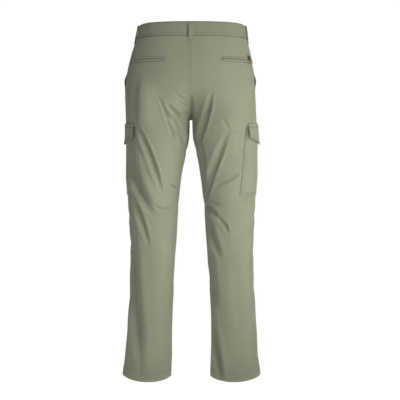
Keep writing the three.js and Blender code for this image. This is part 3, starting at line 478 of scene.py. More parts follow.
def worn_cloth(side, s, t):
    """Point of the cloth with its folds and ripples."""
    p = smooth_cloth(side, s, t)
    n = facing(smooth_cloth, side, s, t)
    return p + n * fold_relief(side, p, n)[..., None]


def along_row(side, t, angle):
    """Position on a row of the point that lies `angle` behind the outer side. Positions run from 0 at the centre
    front to 1 at the centre back."""
    t, angle = np.broadcast_arrays(np.asarray(t, float), np.asarray(angle, float))
    cut = half_section(side, t)
    start = np.arccos(np.where(angle < 0, cut.front_spread, cut.back_spread) ** (cut.square / 2))
    turn = np.abs(angle)
    v = turn / np.pi
    for _ in range(TURN_TRIES):
        v = v + (turn - turn_at(start, v)) / np.pi
    return 0.5 + 0.5 * np.sign(angle) * v


def outseam(side, t):
    """Position of the outseam on each row."""
    return along_row(side, t, np.radians(sizes_at(OUTSEAM, t)[..., 1 if side > 0 else 2]))


def edged(total, near, spacing, even=None):
    """Steps from one edge to the other of each length in `total`: close together near the edges, even between.
    Where `even` differs from `total`, the steps are even over that length and make up for it at the far edge."""
    near = np.asarray(near, float)
    total = np.asarray(total, float)[:, None]
    even = total if even is None else even[:, None]
    count = max(int(np.ceil((total.max() - 2 * near[-1]) / spacing)), 1)
    share = np.arange(1, count) / count
    middle = near[-1] + (even - 2 * near[-1]) * share + (total - even) * share**MAKE_UP_POWER
    return np.hstack((np.tile(near, (len(total), 1)), middle, total - near[::-1]))


def row_lengths(side, t, s_from, s_to, count=260):
    """Lengths along each row of the smooth cloth between two positions, and the positions they are at."""
    s = s_from[:, None] + (s_to - s_from)[:, None] * np.linspace(0, 1, count)
    p = smooth_cloth(side, s, t[:, None])
    steps = np.linalg.norm(np.diff(p, axis=1), axis=-1)
    return s, np.hstack((np.zeros((len(t), 1)), np.cumsum(steps, axis=1)))


def on_rows(side, s, t):
    """A grid's heights, with the points of the smooth cloth on it and their outward directions."""
    rows = np.repeat(t[:, None], s.shape[1], axis=1)
    return rows, smooth_cloth(side, s, rows), facing(smooth_cloth, side, s, rows)


def grid_facing(p, guide):
    """Outward directions of a grid of points, on the side that `guide` points to."""
    normal = unit(np.cross(np.gradient(p, axis=0), np.gradient(p, axis=1)))
    return normal * np.sign(np.sum(normal * guide, axis=-1, keepdims=True))


def at_lengths(wanted, lengths, s):
    """Positions on rows at the wanted lengths along them."""
    return np.stack([np.interp(w, along, places) for w, along, places in zip(wanted, lengths, s)])


SHARP_EDGE = 62


def cloth_shell(name, outer, inner, across, down, tone, material):
    """A closed thin piece of cloth between two grids of points, which takes the place of the solid `name`.
    `across` and `down` lay the weave on it, and `tone` runs from -1, darkest painted shade, to 1, rubbed pale."""
    rows, columns = outer.shape[:2]
    ids = np.arange(2 * rows * columns).reshape(2, rows, columns)
    a, b = ids
    top = np.stack((a[:-1, :-1], a[1:, :-1], a[1:, 1:], a[:-1, 1:]), -1).reshape(-1, 4)
    low = np.stack((b[:-1, :-1], b[:-1, 1:], b[1:, 1:], b[1:, :-1]), -1).reshape(-1, 4)
    rims = []
    for first, second, flip in ((a[:, 0], b[:, 0], 1), (a[:, -1], b[:, -1], 0), (a[0], b[0], 0), (a[-1], b[-1], 1)):
        quads = np.stack((first[:-1], first[1:], second[1:], second[:-1]), -1)
        rims.append(quads[:, ::-1] if flip else quads)
    faces = np.vstack((top, low, *rims))
    points = np.vstack((outer.reshape(-1, 3), inner.reshape(-1, 3))) / 1000
    corner = points[faces]
    fan = np.cross(corner[:, 1] - corner[:, 0], corner[:, 2] - corner[:, 0])
    fan += np.cross(corner[:, 2] - corner[:, 0], corner[:, 3] - corner[:, 0])
    if np.sum(corner[:, 0] * fan) < 0:
        faces = faces[:, ::-1]
    mesh = bpy.data.meshes.new(f"{name}_cloth")
    mesh.from_pydata(points.tolist(), [], faces.tolist())
    uv = np.stack([np.broadcast_to(v, (rows, columns)) for v in (across, down)], -1) / 1000
    flat_uv = np.tile(uv.reshape(-1, 2), (2, 1))[faces.reshape(-1)]
    mesh.uv_layers.new(name="cloth").data.foreach_set("uv", flat_uv.astype(np.float32).ravel())
    shade = np.broadcast_to(np.clip(tone, -1, 1), (rows, columns)).ravel()
    mesh.attributes.new("tone", "FLOAT", "POINT").data.foreach_set("value", np.tile(shade, 2).astype(np.float32))
    mesh.polygons.foreach_set("use_smooth", np.ones(len(faces), bool))
    mesh.set_sharp_from_angle(angle=math.radians(SHARP_EDGE))
    mesh.materials.append(material)
    piece = bpy.data.objects.new(f"{name}_cloth", mesh)
    bpy.context.scene.collection.objects.link(piece)
    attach(piece, "root")
    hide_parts(name)
    return piece


# Cotton twill: a fine diagonal rib, slubs in the yarn, an uneven dye, paler rubbed edges and painted shade.
twill, add, link = made_material("twill")
cotton = add("BsdfPrincipled", {
    "Roughness": 0.88,
    "Specular IOR Level": 0.25,
    "Sheen Weight": 0.12,
    "Sheen Roughness": 0.45,
})
where = add("TexCoord")
rib = add("TexWave", {"Scale": 360, "Distortion": 0.6, "Detail Scale": 3}, bands_direction="DIAGONAL")
yarn = add("TexNoise", {"Scale": 900, "Detail": 2})
slub = add("TexNoise", {"Scale": 120, "Detail": 4})
dye = add("TexNoise", {"Scale": 11, "Detail": 5, "Roughness": 0.6})
for texture, source in ((rib, "UV"), (yarn, "UV"), (slub, "Object"), (dye, "Object")):
    link(where, source, texture, "Vector")
# The tone attribute: above zero it is paler rubbed wear, patchy with the slubs; below zero it is painted shade, with
# some dirt in the seams, which darkens the colour to as little as 0.45 of itself.
wear_and_painted_shade = add("Attribute", attribute_name="tone")
patchy = add("Math", operation="MULTIPLY", use_clamp=True)
base = add("Mix", {"A": (0.245, 0.262, 0.18, 1), "B": (0.33, 0.345, 0.26, 1)}, data_type="RGBA")
painted_shade_factor = add("MapRange", {"From Min": -1, "From Max": 0})
link(wear_and_painted_shade, "Fac", patchy, 0)
link(slub, "Fac", patchy, 1)
link(patchy, "Value", base, "Factor")
link(wear_and_painted_shade, "Fac", painted_shade_factor, "Value")
tint = (base, "Result")
for source, output, low, high in (
    (painted_shade_factor, "Result", 0.45, 1),
    (dye, "Fac", 0.9, 1.1),
    (slub, "Fac", 0.95, 1.05),
    (rib, "Fac", 0.92, 1.06),
):
    strength = add("MapRange", {"To Min": low, "To Max": high})
    scaled = add("VectorMath", operation="SCALE")
    link(source, output, strength, "Value")
    link(*tint, scaled, 0)
    link(strength, "Result", scaled, "Scale")
    tint = (scaled, "Vector")
yarn_relief = add("Bump", {"Strength": 0.35, "Distance": 0.0002})
rib_relief = add("Bump", {"Strength": 0.5, "Distance": 0.0002})
link(*tint, cotton, "Base Color")
link(yarn, "Fac", yarn_relief, "Height")
link(rib, "Fac", rib_relief, "Height")
link(yarn_relief, "Normal", rib_relief, "Normal")
link(rib_relief, "Normal", cotton, "Normal")
link(cotton, "BSDF", add("OutputMaterial"), "Surface")


def mottled(name, finish, kind, pattern, dark, pale):
    """A material whose colour runs between two, by a fine texture."""
    material, add, link = made_material(name)
    shader = add("BsdfPrincipled", finish)
    texture = add(kind, pattern)
    colour = add("Mix", {"A": (*dark, 1), "B": (*pale, 1)}, data_type="RGBA")
    link(add("TexCoord"), "Object", texture, "Vector")
    link(texture, "Fac", colour, "Factor")
    link(colour, "Result", shader, "Base Color")
    link(shader, "BSDF", add("OutputMaterial"), "Surface")
    return SimpleNamespace(material=material, add=add, link=link, shader=shader, texture=texture)


THREAD_LENGTH = 2.7
THREAD_GAP = 0.8
THREAD_WIDTH = 0.7
THREAD_DIP = 0.12
thread = mottled(
    "thread",
    {"Roughness": 0.6, "Sheen Weight": 0.2},
    "TexNoise",
    {"Scale": 400},
    (0.11, 0.12, 0.075),
    (0.17, 0.18, 0.12),
).material


def threads(starts, ends, normals, width=THREAD_WIDTH):
    """Single threads, each a grain that dips into the cloth at both ends."""
    along = ends - starts
    across = unit(np.cross(normals, along))
    middle = (starts + ends) / 2
    half = width / 2
    points = np.stack((
        starts - normals * THREAD_DIP,
        middle + across * half,
        middle + normals * half * 0.9,
        middle - across * half,
        middle - normals * 0.15,
        ends - normals * THREAD_DIP,
    ), axis=1)
    faces = [(0, 2, 1), (0, 3, 2), (0, 4, 3), (0, 1, 4), (5, 1, 2), (5, 2, 3), (5, 3, 4), (5, 4, 1)]
    return points, np.array(faces)


def stitched(path, normals, length=THREAD_LENGTH, gap=THREAD_GAP, width=THREAD_WIDTH):
    """A row of stitches along a line of points on the cloth."""
    so_far = walked(path)
    begin = np.arange(gap / 2, so_far[-1] - length, length + gap)

    def sample(values, distances):
        return np.stack([np.interp(distances, so_far, values[:, k]) for k in range(3)], axis=-1)

    out = unit(sample(normals, begin + length / 2))
    return threads(sample(path, begin), sample(path, begin + length), out, width)


def bar_tack(centre, along, normal, length=9, width=1.9, pitch=0.55):
    """A dense block of short threads across a line, where a seam takes load."""
    along = unit(along)
    across = unit(np.cross(normal, along))
    steps = np.arange(-length / 2, length / 2, pitch)[:, None]
    at = centre + along * steps + normal * THREAD_DIP
    slant = along * pitch / 2
    out = np.repeat(normal[None, :], len(steps), axis=0)
    return threads(at - across * width / 2 - slant, at + across * width / 2 + slant, out, width=0.6)


def stitching(name, rows, material=thread):
    """One piece from many rows of threads."""
    points, faces, count = [], [], 0
    for row_points, row_faces in rows:
        grains = len(row_points)
        each = row_points.shape[1]
        points.append(row_points.reshape(-1, 3))
        faces.append((row_faces[None] + (count + each * np.arange(grains))[:, None, None]).reshape(-1, 3))
        count += grains * each
    mesh = bpy.data.meshes.new(name)
    mesh.from_pydata((np.vstack(points) / 1000).tolist(), [], np.vstack(faces).tolist())
    mesh.polygons.foreach_set("use_smooth", np.ones(len(mesh.polygons), bool))
    mesh.materials.append(material)
    piece = bpy.data.objects.new(name, mesh)
    bpy.context.scene.collection.objects.link(piece)
    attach(piece, "root")
    return piece


CLOTH = 0.9
STITCH_NEAR = 1.6  # the two rows of stitches beside a turned seam
STITCH_FAR = 6.6
NEAR_SEAM = (0.03, 0.5, 1.0, STITCH_NEAR, 2.3, 3.2, 4.4, 5.6, STITCH_FAR, 7.3, 8.1, 9.6, 12)
STITCH_COLUMNS = (NEAR_SEAM.index(STITCH_NEAR), NEAR_SEAM.index(STITCH_FAR))
GROOVE_WIDTH = 0.6
TURNED_EDGE = 6.9  # where the cloth turned under a seam ends
TURNED_STEP = 1.4
PANEL_SPACING = 3.1
HEM_STITCH = 25
PUCKER_LENGTH = 11
HOLLOW_TOP = -165  # painted shadow on the seat seam in the hollow above the crotch
HOLLOW_FADE = 55
HOLLOW_REACH = {1: 3, -1: 10}
HOLLOW_PAINTED_SHADE = 0.9


def seam_tone(d, turned):
    """Painted shade, with some dirt, in a seam and along its stitches, and the paler rubbed rise between them."""
    tone = -0.42 * bump(d, 1.2)
    if turned:
        tone = tone - 0.15 * bump(d - 6.8, 1.1) + 0.3 * bump(d - 4, 1.6)
    return tone


def seam_height(d, along, turned, phase=0.0):
    """Relief near a seam: both edges roll down into it, and the turned side is thicker, with two stitched grooves."""
    rolled = -0.6 * bump(d, 1.0)
    puckers = wave(along, PUCKER_LENGTH, phase) + 0.6 * wave(along, 17.3, 2.1 * phase)
    puckered = 0.22 * puckers * bump(d - 4, 5)
    if not turned:
        return rolled + puckered
    thick = 0.55 * (1 - ease((d - TURNED_EDGE) / TURNED_STEP))
    grooves = -0.32 * bump(d - STITCH_NEAR, GROOVE_WIDTH) - 0.32 * bump(d - STITCH_FAR, GROOVE_WIDTH)
    return rolled + puckered + thick + grooves


def panel_rows():
    """Heights of a panel's rows, close together at the waist seam and the hem."""
    top = WAIST_SEAM - 0.15
    hem_steps = (22, 23.4, 24.4, 25, 25.6, 26.6, 28)
    near_hem = [HEM + h for h in (0, 0.5, 1.2, 2.2, 4, 6.6, 9.8, 13, 16, 19, *hem_steps)]
    first = [top, top - 0.5, top - 1.1, top - 1.9, top - 3, top - 4.4, top - 6.4]
    between = np.linspace(first[-1], near_hem[-1], int((first[-1] - near_hem[-1]) / PANEL_SPACING) + 1)
    return np.concatenate((first, between[1:-1], near_hem[::-1]))


def hem_height(t, along):
    """The turned hem: thicker below its stitches, with slanting puckers between them and the edge."""
    up = t - HEM
    inside = 1 - ease((up - HEM_STITCH + 1) / 1.8)
    slant = wave(along + 0.9 * up, 13) + 0.5 * wave(along * 1.3 - 0.5 * up, 19)
    puckers = 0.3 * slant * bump(up - 14, 10)
    groove = -0.28 * bump(up - HEM_STITCH, 0.8)
    return 0.5 * inside + puckers + groove - 0.5 * bump(up, 0.6)


def leg_panel(name, side, s_from, s_to, first_seam, last_seam):
    """A leg panel between two lines down the cloth. Each of its long edges has a function that gives the relief
    by the distance from the edge and the height."""
    t = panel_rows()
    s_dense, lengths = row_lengths(side, t, s_from(t), s_to(t))
    away = np.abs(t - CROTCH) > CROTCH_MAKE_UP
    even = np.interp(-t, -t[away], lengths[away, -1])
    total = lengths[:, -1]
    distance = edged(total, NEAR_SEAM, PANEL_SPACING, even)
    on_back = name.startswith("back")
    if not on_back:  # a front starts at the crotch seam, a back ends there
        distance = total[:, None] - distance[:, ::-1]
    rows, p, n = on_rows(side, at_lengths(distance, lengths, s_dense), t)
    height = fold_relief(side, p, n)
    to_end = total[:, None] - distance
    below_waist = WAIST_SEAM - rows
    height = height + first_seam(distance, rows) + last_seam(to_end, rows)
    height = height + hem_height(rows, distance)
    height = height + seam_height(below_waist, distance, turned=False, phase=0.7)
    outer = p + n * height[..., None]
    out = grid_facing(outer, n)
    inner = outer - out * CLOTH
    # Painted shade, with some dirt, in the seams and along their stitches, and paler rubbed wear beside them.
    tone = seam_tone(distance, turned=on_back) + seam_tone(to_end, turned=True)
    tone = tone + seam_tone(below_waist, turned=False)
    up = rows - HEM
    # Painted shade in the hem's stitch line and over the cloth for 60 mm above it, as the light falls off; the folded
    # edge of the hem is rubbed pale.
    tone = tone - 0.22 * bump(up - HEM_STITCH, 1.1) + 0.8 * bump(up, 4)
    tone = tone - 0.14 * (1 - ease((up - HEM_STITCH) / 60))
    # Painted shadow: the seat seam darkens in its hollow above the crotch, more widely on the right back.
    if on_back:
        hollow = ease((HOLLOW_TOP - rows) / HOLLOW_FADE) * (rows > CROTCH)
        tone = tone - HOLLOW_PAINTED_SHADE * hollow * bump(to_end, HOLLOW_REACH[side] * hollow + 0.5)
    panel = cloth_shell(name, outer, inner, distance if on_back else -to_end, rows, tone, twill)
    return SimpleNamespace(piece=panel, outer=outer, out=out, t=t, hem_row=nearest(t, HEM + HEM_STITCH))


def turned_seam(d, t):
    return seam_height(d, t, turned=True, phase=0.4)


def flat_seam(d, t):
    return seam_height(d, t, turned=False, phase=1.9)


def seat_or_inseam(d, t):
    return seam_height(d, t, turned=True, phase=2.6)


def under_seat_seam(d, t):
    """The right back lies flat under the turned seat seam, and is turned itself below the crotch."""
    return np.where(t > CROTCH, flat_seam(d, t), seat_or_inseam(d, t))


SIDE_NAMES = {1: "left", -1: "right"}
leg_threads = []
for side, side_name in SIDE_NAMES.items():
    seat = seat_or_inseam if side > 0 else under_seat_seam
    back = leg_panel(f"back_{side_name}", side, lambda t: outseam(side, t), np.ones_like, turned_seam, seat)
    for k in STITCH_COLUMNS:
        leg_threads.append(stitched(back.outer[:, k], back.out[:, k]))
        above = back.t > CROTCH
        if side > 0:
            leg_threads.append(stitched(back.outer[above, -1 - k], back.out[above, -1 - k]))
        leg_threads.append(stitched(back.outer[~above, -1 - k], back.out[~above, -1 - k]))
    leg_threads.append(stitched(back.outer[back.hem_row], back.out[back.hem_row]))

# Front panels
# The front of each leg is the same twill. Its side edge is cut away in a slant for the hand pocket, and it runs
# from the centre front, where the fly is, down the inseam to the hem.
SLASH_TOP = 52
SLASH_END = -152
SLASH_TACK = -14
SLASH_FADE = 25
SLASH_LIFT = 1.4
GAPE_AT = -118
GAPE = 3
GAPE_TALL = 13
GAPE_DEEP = 14
DEPTH_SHARE = 0.85


def side_radius(side, t):
    """Radius of the outer side, which turns a length along the cloth into an angle."""
    cut = half_section(side, np.asarray(t, float))
    round_part = (cut.out - cut.gap) / (1 + cut.back_spread)
    return round_part + (cut.depth - round_part) * DEPTH_SHARE


def front_edge(side, t):
    """Position on each row of a front's outer edge: the slanted pocket mouth, and the outseam below it."""
    away = SLASH_TOP * np.clip((t - SLASH_END) / -SLASH_END, 0, 1)
    degrees = sizes_at(OUTSEAM, t)[..., 1 if side > 0 else 2]
    return along_row(side, t, np.radians(degrees) - away / side_radius(side, t))


def pocket_mouth(d, t):
    """The slanted pocket edge stands a little off the body, gapes near its foot and is topstitched twice. Below it
    is the outseam."""
    open_part = ease((t - SLASH_END) / SLASH_FADE) * ease((WAIST_SEAM + 6 - t) / SLASH_FADE)
    lifted = (SLASH_LIFT * open_part + GAPE * bump(t - GAPE_AT, GAPE_TALL)) * bump(d, GAPE_DEEP)
    mouth = 0.25 * (1 - ease((d - TURNED_EDGE) / TURNED_STEP)) - 0.3 * bump(d - STITCH_NEAR, GROOVE_WIDTH)
    mouth = mouth - 0.3 * bump(d - STITCH_FAR, GROOVE_WIDTH) - 0.3 * bump(d, 0.5)
    on_mouth = ease((t - SLASH_END + 4) / 8)
    return lifted + on_mouth * mouth + (1 - on_mouth) * flat_seam(d, t)


for side, side_name in SIDE_NAMES.items():
    name = f"front_{side_name}"
    front = leg_panel(name, side, np.zeros_like, lambda t: front_edge(side, t), flat_seam, pocket_mouth)
    mouth_rows = front.t > SLASH_END
    for k in STITCH_COLUMNS:
        leg_threads.append(stitched(front.outer[mouth_rows, -1 - k], front.out[mouth_rows, -1 - k]))
    leg_threads.append(stitched(front.outer[front.hem_row], front.out[front.hem_row]))
    for row in (nearest(front.t, SLASH_END + 4), nearest(front.t, SLASH_TACK)):
        across = front.outer[row, -6] - front.outer[row, -1]
        leg_threads.append(bar_tack(front.outer[row, -5], across, front.out[row, -5], length=8))
leg_stitching = stitching("leg_stitching", leg_threads)

# Hand pocket facings
# Behind each slanted edge the pocket shows its facing, a strip of the same twill that is sewn into the outseam
# and the waistband and runs on under the front.
FACING_END = -147
FACING_UNDER = 14
FACING_THICK = 0.8
for side, side_name in SIDE_NAMES.items():
    t = panel_rows()
    t = t[t > FACING_END]
    edge = front_edge(side, t)
    s_dense, lengths = row_lengths(side, t, edge - 0.08, outseam(side, t))
    at_edge = np.array([np.interp(edge[i], s_dense[i], lengths[i]) for i in range(len(t))])
    first = at_edge - FACING_UNDER * ease((t - FACING_END) / 30)
    width = lengths[:, -1] - first
    distance = first[:, None] + edged(width, (0.15, 0.6, 1.4, 2.6), spacing=3.2)
    rows, p, n = on_rows(side, at_lengths(distance, lengths, s_dense), t)
    to_seam = lengths[:, -1:] - distance
    sink = -1.35 + 0.9 * ease(1 - to_seam / 16)
    height = fold_relief(side, p, n) + sink + seam_height(to_seam, rows, turned=False, phase=0.3)
    outer = p + n * height[..., None]
    out = grid_facing(outer, n)
    # Painted shade, with some dirt, in the outseam, and painted shadow where the facing runs under the slanted edge
    # of the front.
    tone = seam_tone(to_seam, turned=False) - 0.3 * bump(distance - at_edge[:, None], 2.5)
    inner = outer - out * FACING_THICK
    cloth_shell(f"pocket_facing_{side_name}", outer, inner, distance, rows, tone, twill)

# Waistband
# A doubled band of twill, one piece for each half, joined at the centre back. It is topstitched above its seam
# and under its folded top edge. At the front the left end lies over the right one, which steps down beneath it.
BAND_TOP = 46
BAND_PEAK = 3
BAND_PEAK_TURN = 0.8
BAND_DIP = 2
BAND_PROUD = 0.9
BAND_WALL = 2.4
BAND_CLEAR = 0.3
UNDERLAP = 32
OVERLAP = 5
STEP_START = 16
STEP_END = 2
BAND_STITCH = 13.6
BAND_TOP_STITCH = 43.6
BAND_FOLDS = [  # seen from behind: x, z, x, z, bow, reach, depth, lean
    (-70, 30.5, -106, 39, 1, 3.2, -1.1, 0),
    (-88, 22, -123, 29, 1, 3, -0.9, 0),
    (-118, 18, -146, 25, 0, 3, -0.8, 0),
    (-36, 17, -52, 24, 0, 3, -0.5, 0),
    (40, 20, 66, 30, 0, 3.4, -0.5, 0),
    (84, 18, 110, 33, 0, 3.6, -0.7, 0),
    (122, 16, 141, 30, 0, 3.4, -0.8, 0),
]


def from_front(side, distance):
    """Position on the waist row at a length along the cloth from the centre front."""
    s, lengths = row_lengths(side, np.zeros(1), np.zeros(1), np.full(1, 0.5))
    return np.interp(distance, lengths[0], s[0])


def band_height(t, along, x, z, ny):
    """Relief of the waistband's outside."""
    up, down = t - WAIST_SEAM, BAND_TOP - t
    height = -0.8 * bump(up, 1.1) - 0.8 * bump(down, 0.7)
    height = height - 0.5 * bump(t - BAND_STITCH, 0.9)
    height = height - 0.3 * bump(t - BAND_TOP_STITCH, 0.6)
    height = height + 0.14 * wave(along, 12.5, t * 0.1) * bump(t - 10, 4)
    height = height + 0.12 * wave(along, 31, 1.3) + 0.1 * wave(along, 19, t * 0.12)
    return height + turned_to(ny) * sum(fold_height(fold, x, z) for fold in BAND_FOLDS)


band_rows = np.concatenate((
    (WAIST_SEAM + 0.15, 7.6, 8.2, 9, 10.2, 11.6, 12.6, 13.1, BAND_STITCH, 14.1, 14.7, 16),
    np.arange(18.6, 41, 2.7),
    (42, 43, BAND_TOP_STITCH, 44.2, 44.8, 45.3, 45.7, BAND_TOP),
))[::-1]
band_threads = []
for side, side_name in SIDE_NAMES.items():
    half_row, half_lengths = row_lengths(side, np.zeros(1), np.zeros(1), np.ones(1), count=500)
    total = half_lengths[0, -1]
    stop = OVERLAP + STEP_START if side < 0 else 0
    walk = np.concatenate(((0.15, 0.6, 1.2, 2, 3), np.arange(5.5, total - stop, 3)))
    places = [(side, np.interp(total - d, half_lengths[0], half_row[0]), 0.0) for d in walk]
    sunk = BAND_WALL + BAND_CLEAR
    if side > 0:
        places.append((1, from_front(1, 0), 0.0))
        places += [(-1, from_front(-1, d), 0.0) for d in (1.5, 3, 4, 4.6, OVERLAP)]
    else:
        for d in np.linspace(OVERLAP + STEP_START, OVERLAP + STEP_END, 7):
            fallen = ease((OVERLAP + STEP_START - d) / (STEP_START - STEP_END))
            places.append((-1, from_front(-1, d), sunk * fallen))
        places += [(-1, from_front(-1, d), sunk) for d in (4, 1, 0)]
        places += [(1, from_front(1, d), sunk) for d in np.linspace(3, UNDERLAP, 11)]
    t = np.repeat(band_rows[:, None], len(places), axis=1)
    p = np.empty((*t.shape, 3))
    n = np.empty_like(p)
    for k, (half, s, _) in enumerate(places):
        p[:, k] = smooth_cloth(half, s, band_rows)
        n[:, k] = facing(smooth_cloth, half, s, band_rows)
    share = (t - WAIST_SEAM) / (BAND_TOP - WAIST_SEAM)
    p[..., 2] += (BAND_PEAK * ease(n[..., 1] / BAND_PEAK_TURN) - BAND_DIP * (1 - n[..., 1] ** 2)) * share
    along = walked(p[-1])[None, :]
    sink = np.array([place[2] for place in places])[None, :]
    height = BAND_PROUD - sink + band_height(t, along, p[..., 0], p[..., 2], n[..., 1])
    height = height - 0.6 * bump(along[:, -1:] - along, 0.8) * (side > 0)
    height = height - 0.6 * bump(along, 0.9)
    outer = p + n * height[..., None]
    rounded = 0.8 * bump(BAND_TOP - t, 0.7) + 0.5 * bump(t - WAIST_SEAM, 0.8)
    inner = p + n * (BAND_PROUD - BAND_WALL - sink + rounded)[..., None]
    out = grid_facing(outer, n)
    # Painted shade: the whole band is a little darker, and darker still under its folded top edge, at its seam and at
    # its lower stitches; the line above the seam is rubbed pale.
    tone = -0.12 - 0.8 * bump(BAND_TOP - t, 2.4) - 0.8 * bump(t - WAIST_SEAM, 1.8)
    tone = tone - 0.3 * bump(t - BAND_STITCH, 1.3) + 0.3 * bump(t - 10.5, 1.5)
    band = cloth_shell(f"waistband_{side_name}", outer, inner, along, t, tone, twill)
    SimpleNamespace(piece=band, outer=outer, out=out)
    for height_of_row in (BAND_STITCH, BAND_TOP_STITCH):
        row = nearest(band_rows, height_of_row)
        band_threads.append(stitched(outer[row], out[row]))
band_stitching = stitching("band_stitching", band_threads)

# Belt loops
# Five folded straps of twill, each stitched down both long edges and bar-tacked at its turned top and at its foot.
# The back and front ones stand off the band to let a belt through, and the side ones are pressed flatter.
LOOP_WIDTH = 13
LOOP_STRAP = 1.4
LOOP_STAND = 5.2
LOOP_SIDE_STAND = 1.2
LOOP_SIDE_TURN = 0.2
LOOP_SIDE_BEHIND = 12
# Painted shade: the side loops are darkened all over.
LOOP_SIDE_PAINTED_SHADE = -1
LOOP_CLEAR = 0.5
LOOP_TOP = 47
LOOP_BOTTOM = -9
LOOP_FOOT = 6
LOOP_RISE = 8
LOOP_FALL = 6
LOOP_FRONT_X = 68
LOOP_ROWS = 61
LOOP_SMOOTHING = 6
LOOP_TACKS = (4, -4)
LOOP_STITCHES = (4, 12)
FRONT_SHARE = 0.45  # of a half row, from the centre front, where places are looked for
BAND_MIDDLE = (BAND_TOP + WAIST_SEAM) / 2


def front_place(side, x, t):
    """Position on a row at a distance x from the middle."""
    s = np.linspace(0, FRONT_SHARE, 400)
    return float(np.interp(abs(x), np.abs(smooth_cloth(side, s, t)[:, 0]), s))


def belt_loop(name, side, s, stand=LOOP_STAND, turn=0, shade=0):
    """A strap at position `s`, standing off the band by `stand`, turned about its length by `turn` and darkened all
    over by `shade`, a painted shade.
    """
    at = smooth_cloth(side, s, LOOP_TOP / 2)
    out = facing(smooth_cloth, side, s, 0.0)
    out = unit((out + np.array((0, turn, 0))) * (1, 1, 0))
    across = np.cross(out, (0, 0, 1))
    foot_top = LOOP_BOTTOM + LOOP_FOOT

    def level(z):
        proud = BAND_PROUD if z > foot_top else 0
        return float((smooth_cloth(side, s, min(z, BAND_TOP)) - at) @ out) + proud + LOOP_CLEAR

    corners = np.array((
        (level(LOOP_BOTTOM), LOOP_BOTTOM),
        (level(foot_top), foot_top),
        (level(LOOP_RISE) + stand * 0.85, LOOP_RISE - 1),
        (level(BAND_MIDDLE) + stand, BAND_MIDDLE),
        (level(BAND_TOP) + stand * 0.9, BAND_TOP - LOOP_FALL),
        (level(BAND_TOP) + 0.3, BAND_TOP - LOOP_FALL / 3),
        (level(BAND_TOP), LOOP_TOP),
    ))
    so_far = walked(corners)
    steps = np.linspace(0, so_far[-1], LOOP_ROWS)
    line = np.stack([np.interp(steps, so_far, corners[:, k]) for k in (0, 1)], -1)
    for _ in range(LOOP_SMOOTHING):
        line[1:-1] = (line[:-2] + 2 * line[1:-1] + line[2:]) / 4
    tangent = unit(np.gradient(line, axis=0))
    away = np.stack((tangent[:, 1], -tangent[:, 0]), -1)
    half = LOOP_WIDTH / 2
    w = np.array((-half, -6.2, -5.7, -5.1, -4.5, -3.9, -2.8, -1.4, 0, 1.4, 2.8, 3.9, 4.5, 5.1, 5.7, 6.2, half))
    edge = half - np.abs(w)
    crown = -0.6 * bump(edge, 0.35) - 0.22 * bump(edge - 2, 0.5)
    end = np.minimum(steps, steps[-1] - steps)
    closing = -0.5 * bump(end, 0.6)
    thick = LOOP_STRAP + crown[None, :] + closing[:, None] + 0.1 * np.sin(steps / 2.4)[:, None] * (np.abs(w) > 3)

    def place(offset):
        profile = line[:, None, :] + away[:, None, :] * offset[..., None]
        flat = np.array((at[0], at[1], 0))
        return flat + out * profile[..., :1] + np.array((0, 0, 1)) * profile[..., 1:] + across * w[None, :, None]

    outer = place(thick)
    inner = place(0.35 * bump(edge, 0.35)[None, :] + np.zeros_like(thick))
    normals = grid_facing(outer, np.broadcast_to(out, outer.shape))
    # Rubbed pale along the folded edges, painted shade along the stitches, and the painted shade `shade` over the
    # whole strap.
    tone = shade + (0.8 + shade) * bump(edge, 1.2) - 0.5 * bump(edge - 2, 0.7)
    piece = cloth_shell(name, outer, inner, w, steps[:, None], tone, twill)
    rows = [stitched(outer[2:-2, k], normals[2:-2, k], length=2.2, gap=0.7) for k in LOOP_STITCHES]
    for row in LOOP_TACKS:
        rows.append(bar_tack(outer[row, len(w) // 2], across, normals[row, len(w) // 2], length=11.5))
    return piece, rows


loops = {}
loops["belt_loop_back"], loop_threads = belt_loop("belt_loop_back", 1, 1.0)
for side, side_name in SIDE_NAMES.items():
    name = f"belt_loop_side_{side_name}"
    behind = float(along_row(side, 0, LOOP_SIDE_BEHIND / side_radius(side, 0)))
    loops[name], rows = belt_loop(name, side, behind, LOOP_SIDE_STAND, LOOP_SIDE_TURN, LOOP_SIDE_PAINTED_SHADE)
    loop_threads += rows
    name = f"belt_loop_front_{side_name}"
    loops[name], rows = belt_loop(name, side, front_place(side, LOOP_FRONT_X, 0))
    loop_threads += rows
loop_stitching = stitching("loop_stitching", loop_threads)

# Back pockets
# Each is a slit with a narrow folded jet above and below its mouth, inside a stitched frame with a bar tack at
# each end.
JET_TOP = -54
JET_TALL = 7.5
JET_MOUTH = JET_TOP - JET_TALL
JET_BOTTOM = JET_MOUTH - JET_TALL
JET_LENGTH = 132
JET_START = {1: 77, -1: 91}
FRAME_OUT = 3.2
FRAME_INNER = 5  # the frame's inner end is this much further out
FRAME_LIFT = 0.12
LAID = 0.3  # between a panel and what lies on it


def from_seat_seam(side, t, distance):
    """Positions on rows at lengths along the cloth from the seat seam."""
    t = np.asarray(t, float)
    s, lengths = row_lengths(side, t, np.ones_like(t), np.full_like(t, 0.5), count=300)
    return at_lengths(distance, lengths, s)


def laid_on(side, s, t, height):
    """Points at a height over the folded cloth, and the directions they were moved in."""
    p = worn_cloth(side, s, t)
    n = facing(worn_cloth, side, s, t)
    return p + n * np.asarray(height)[..., None], n


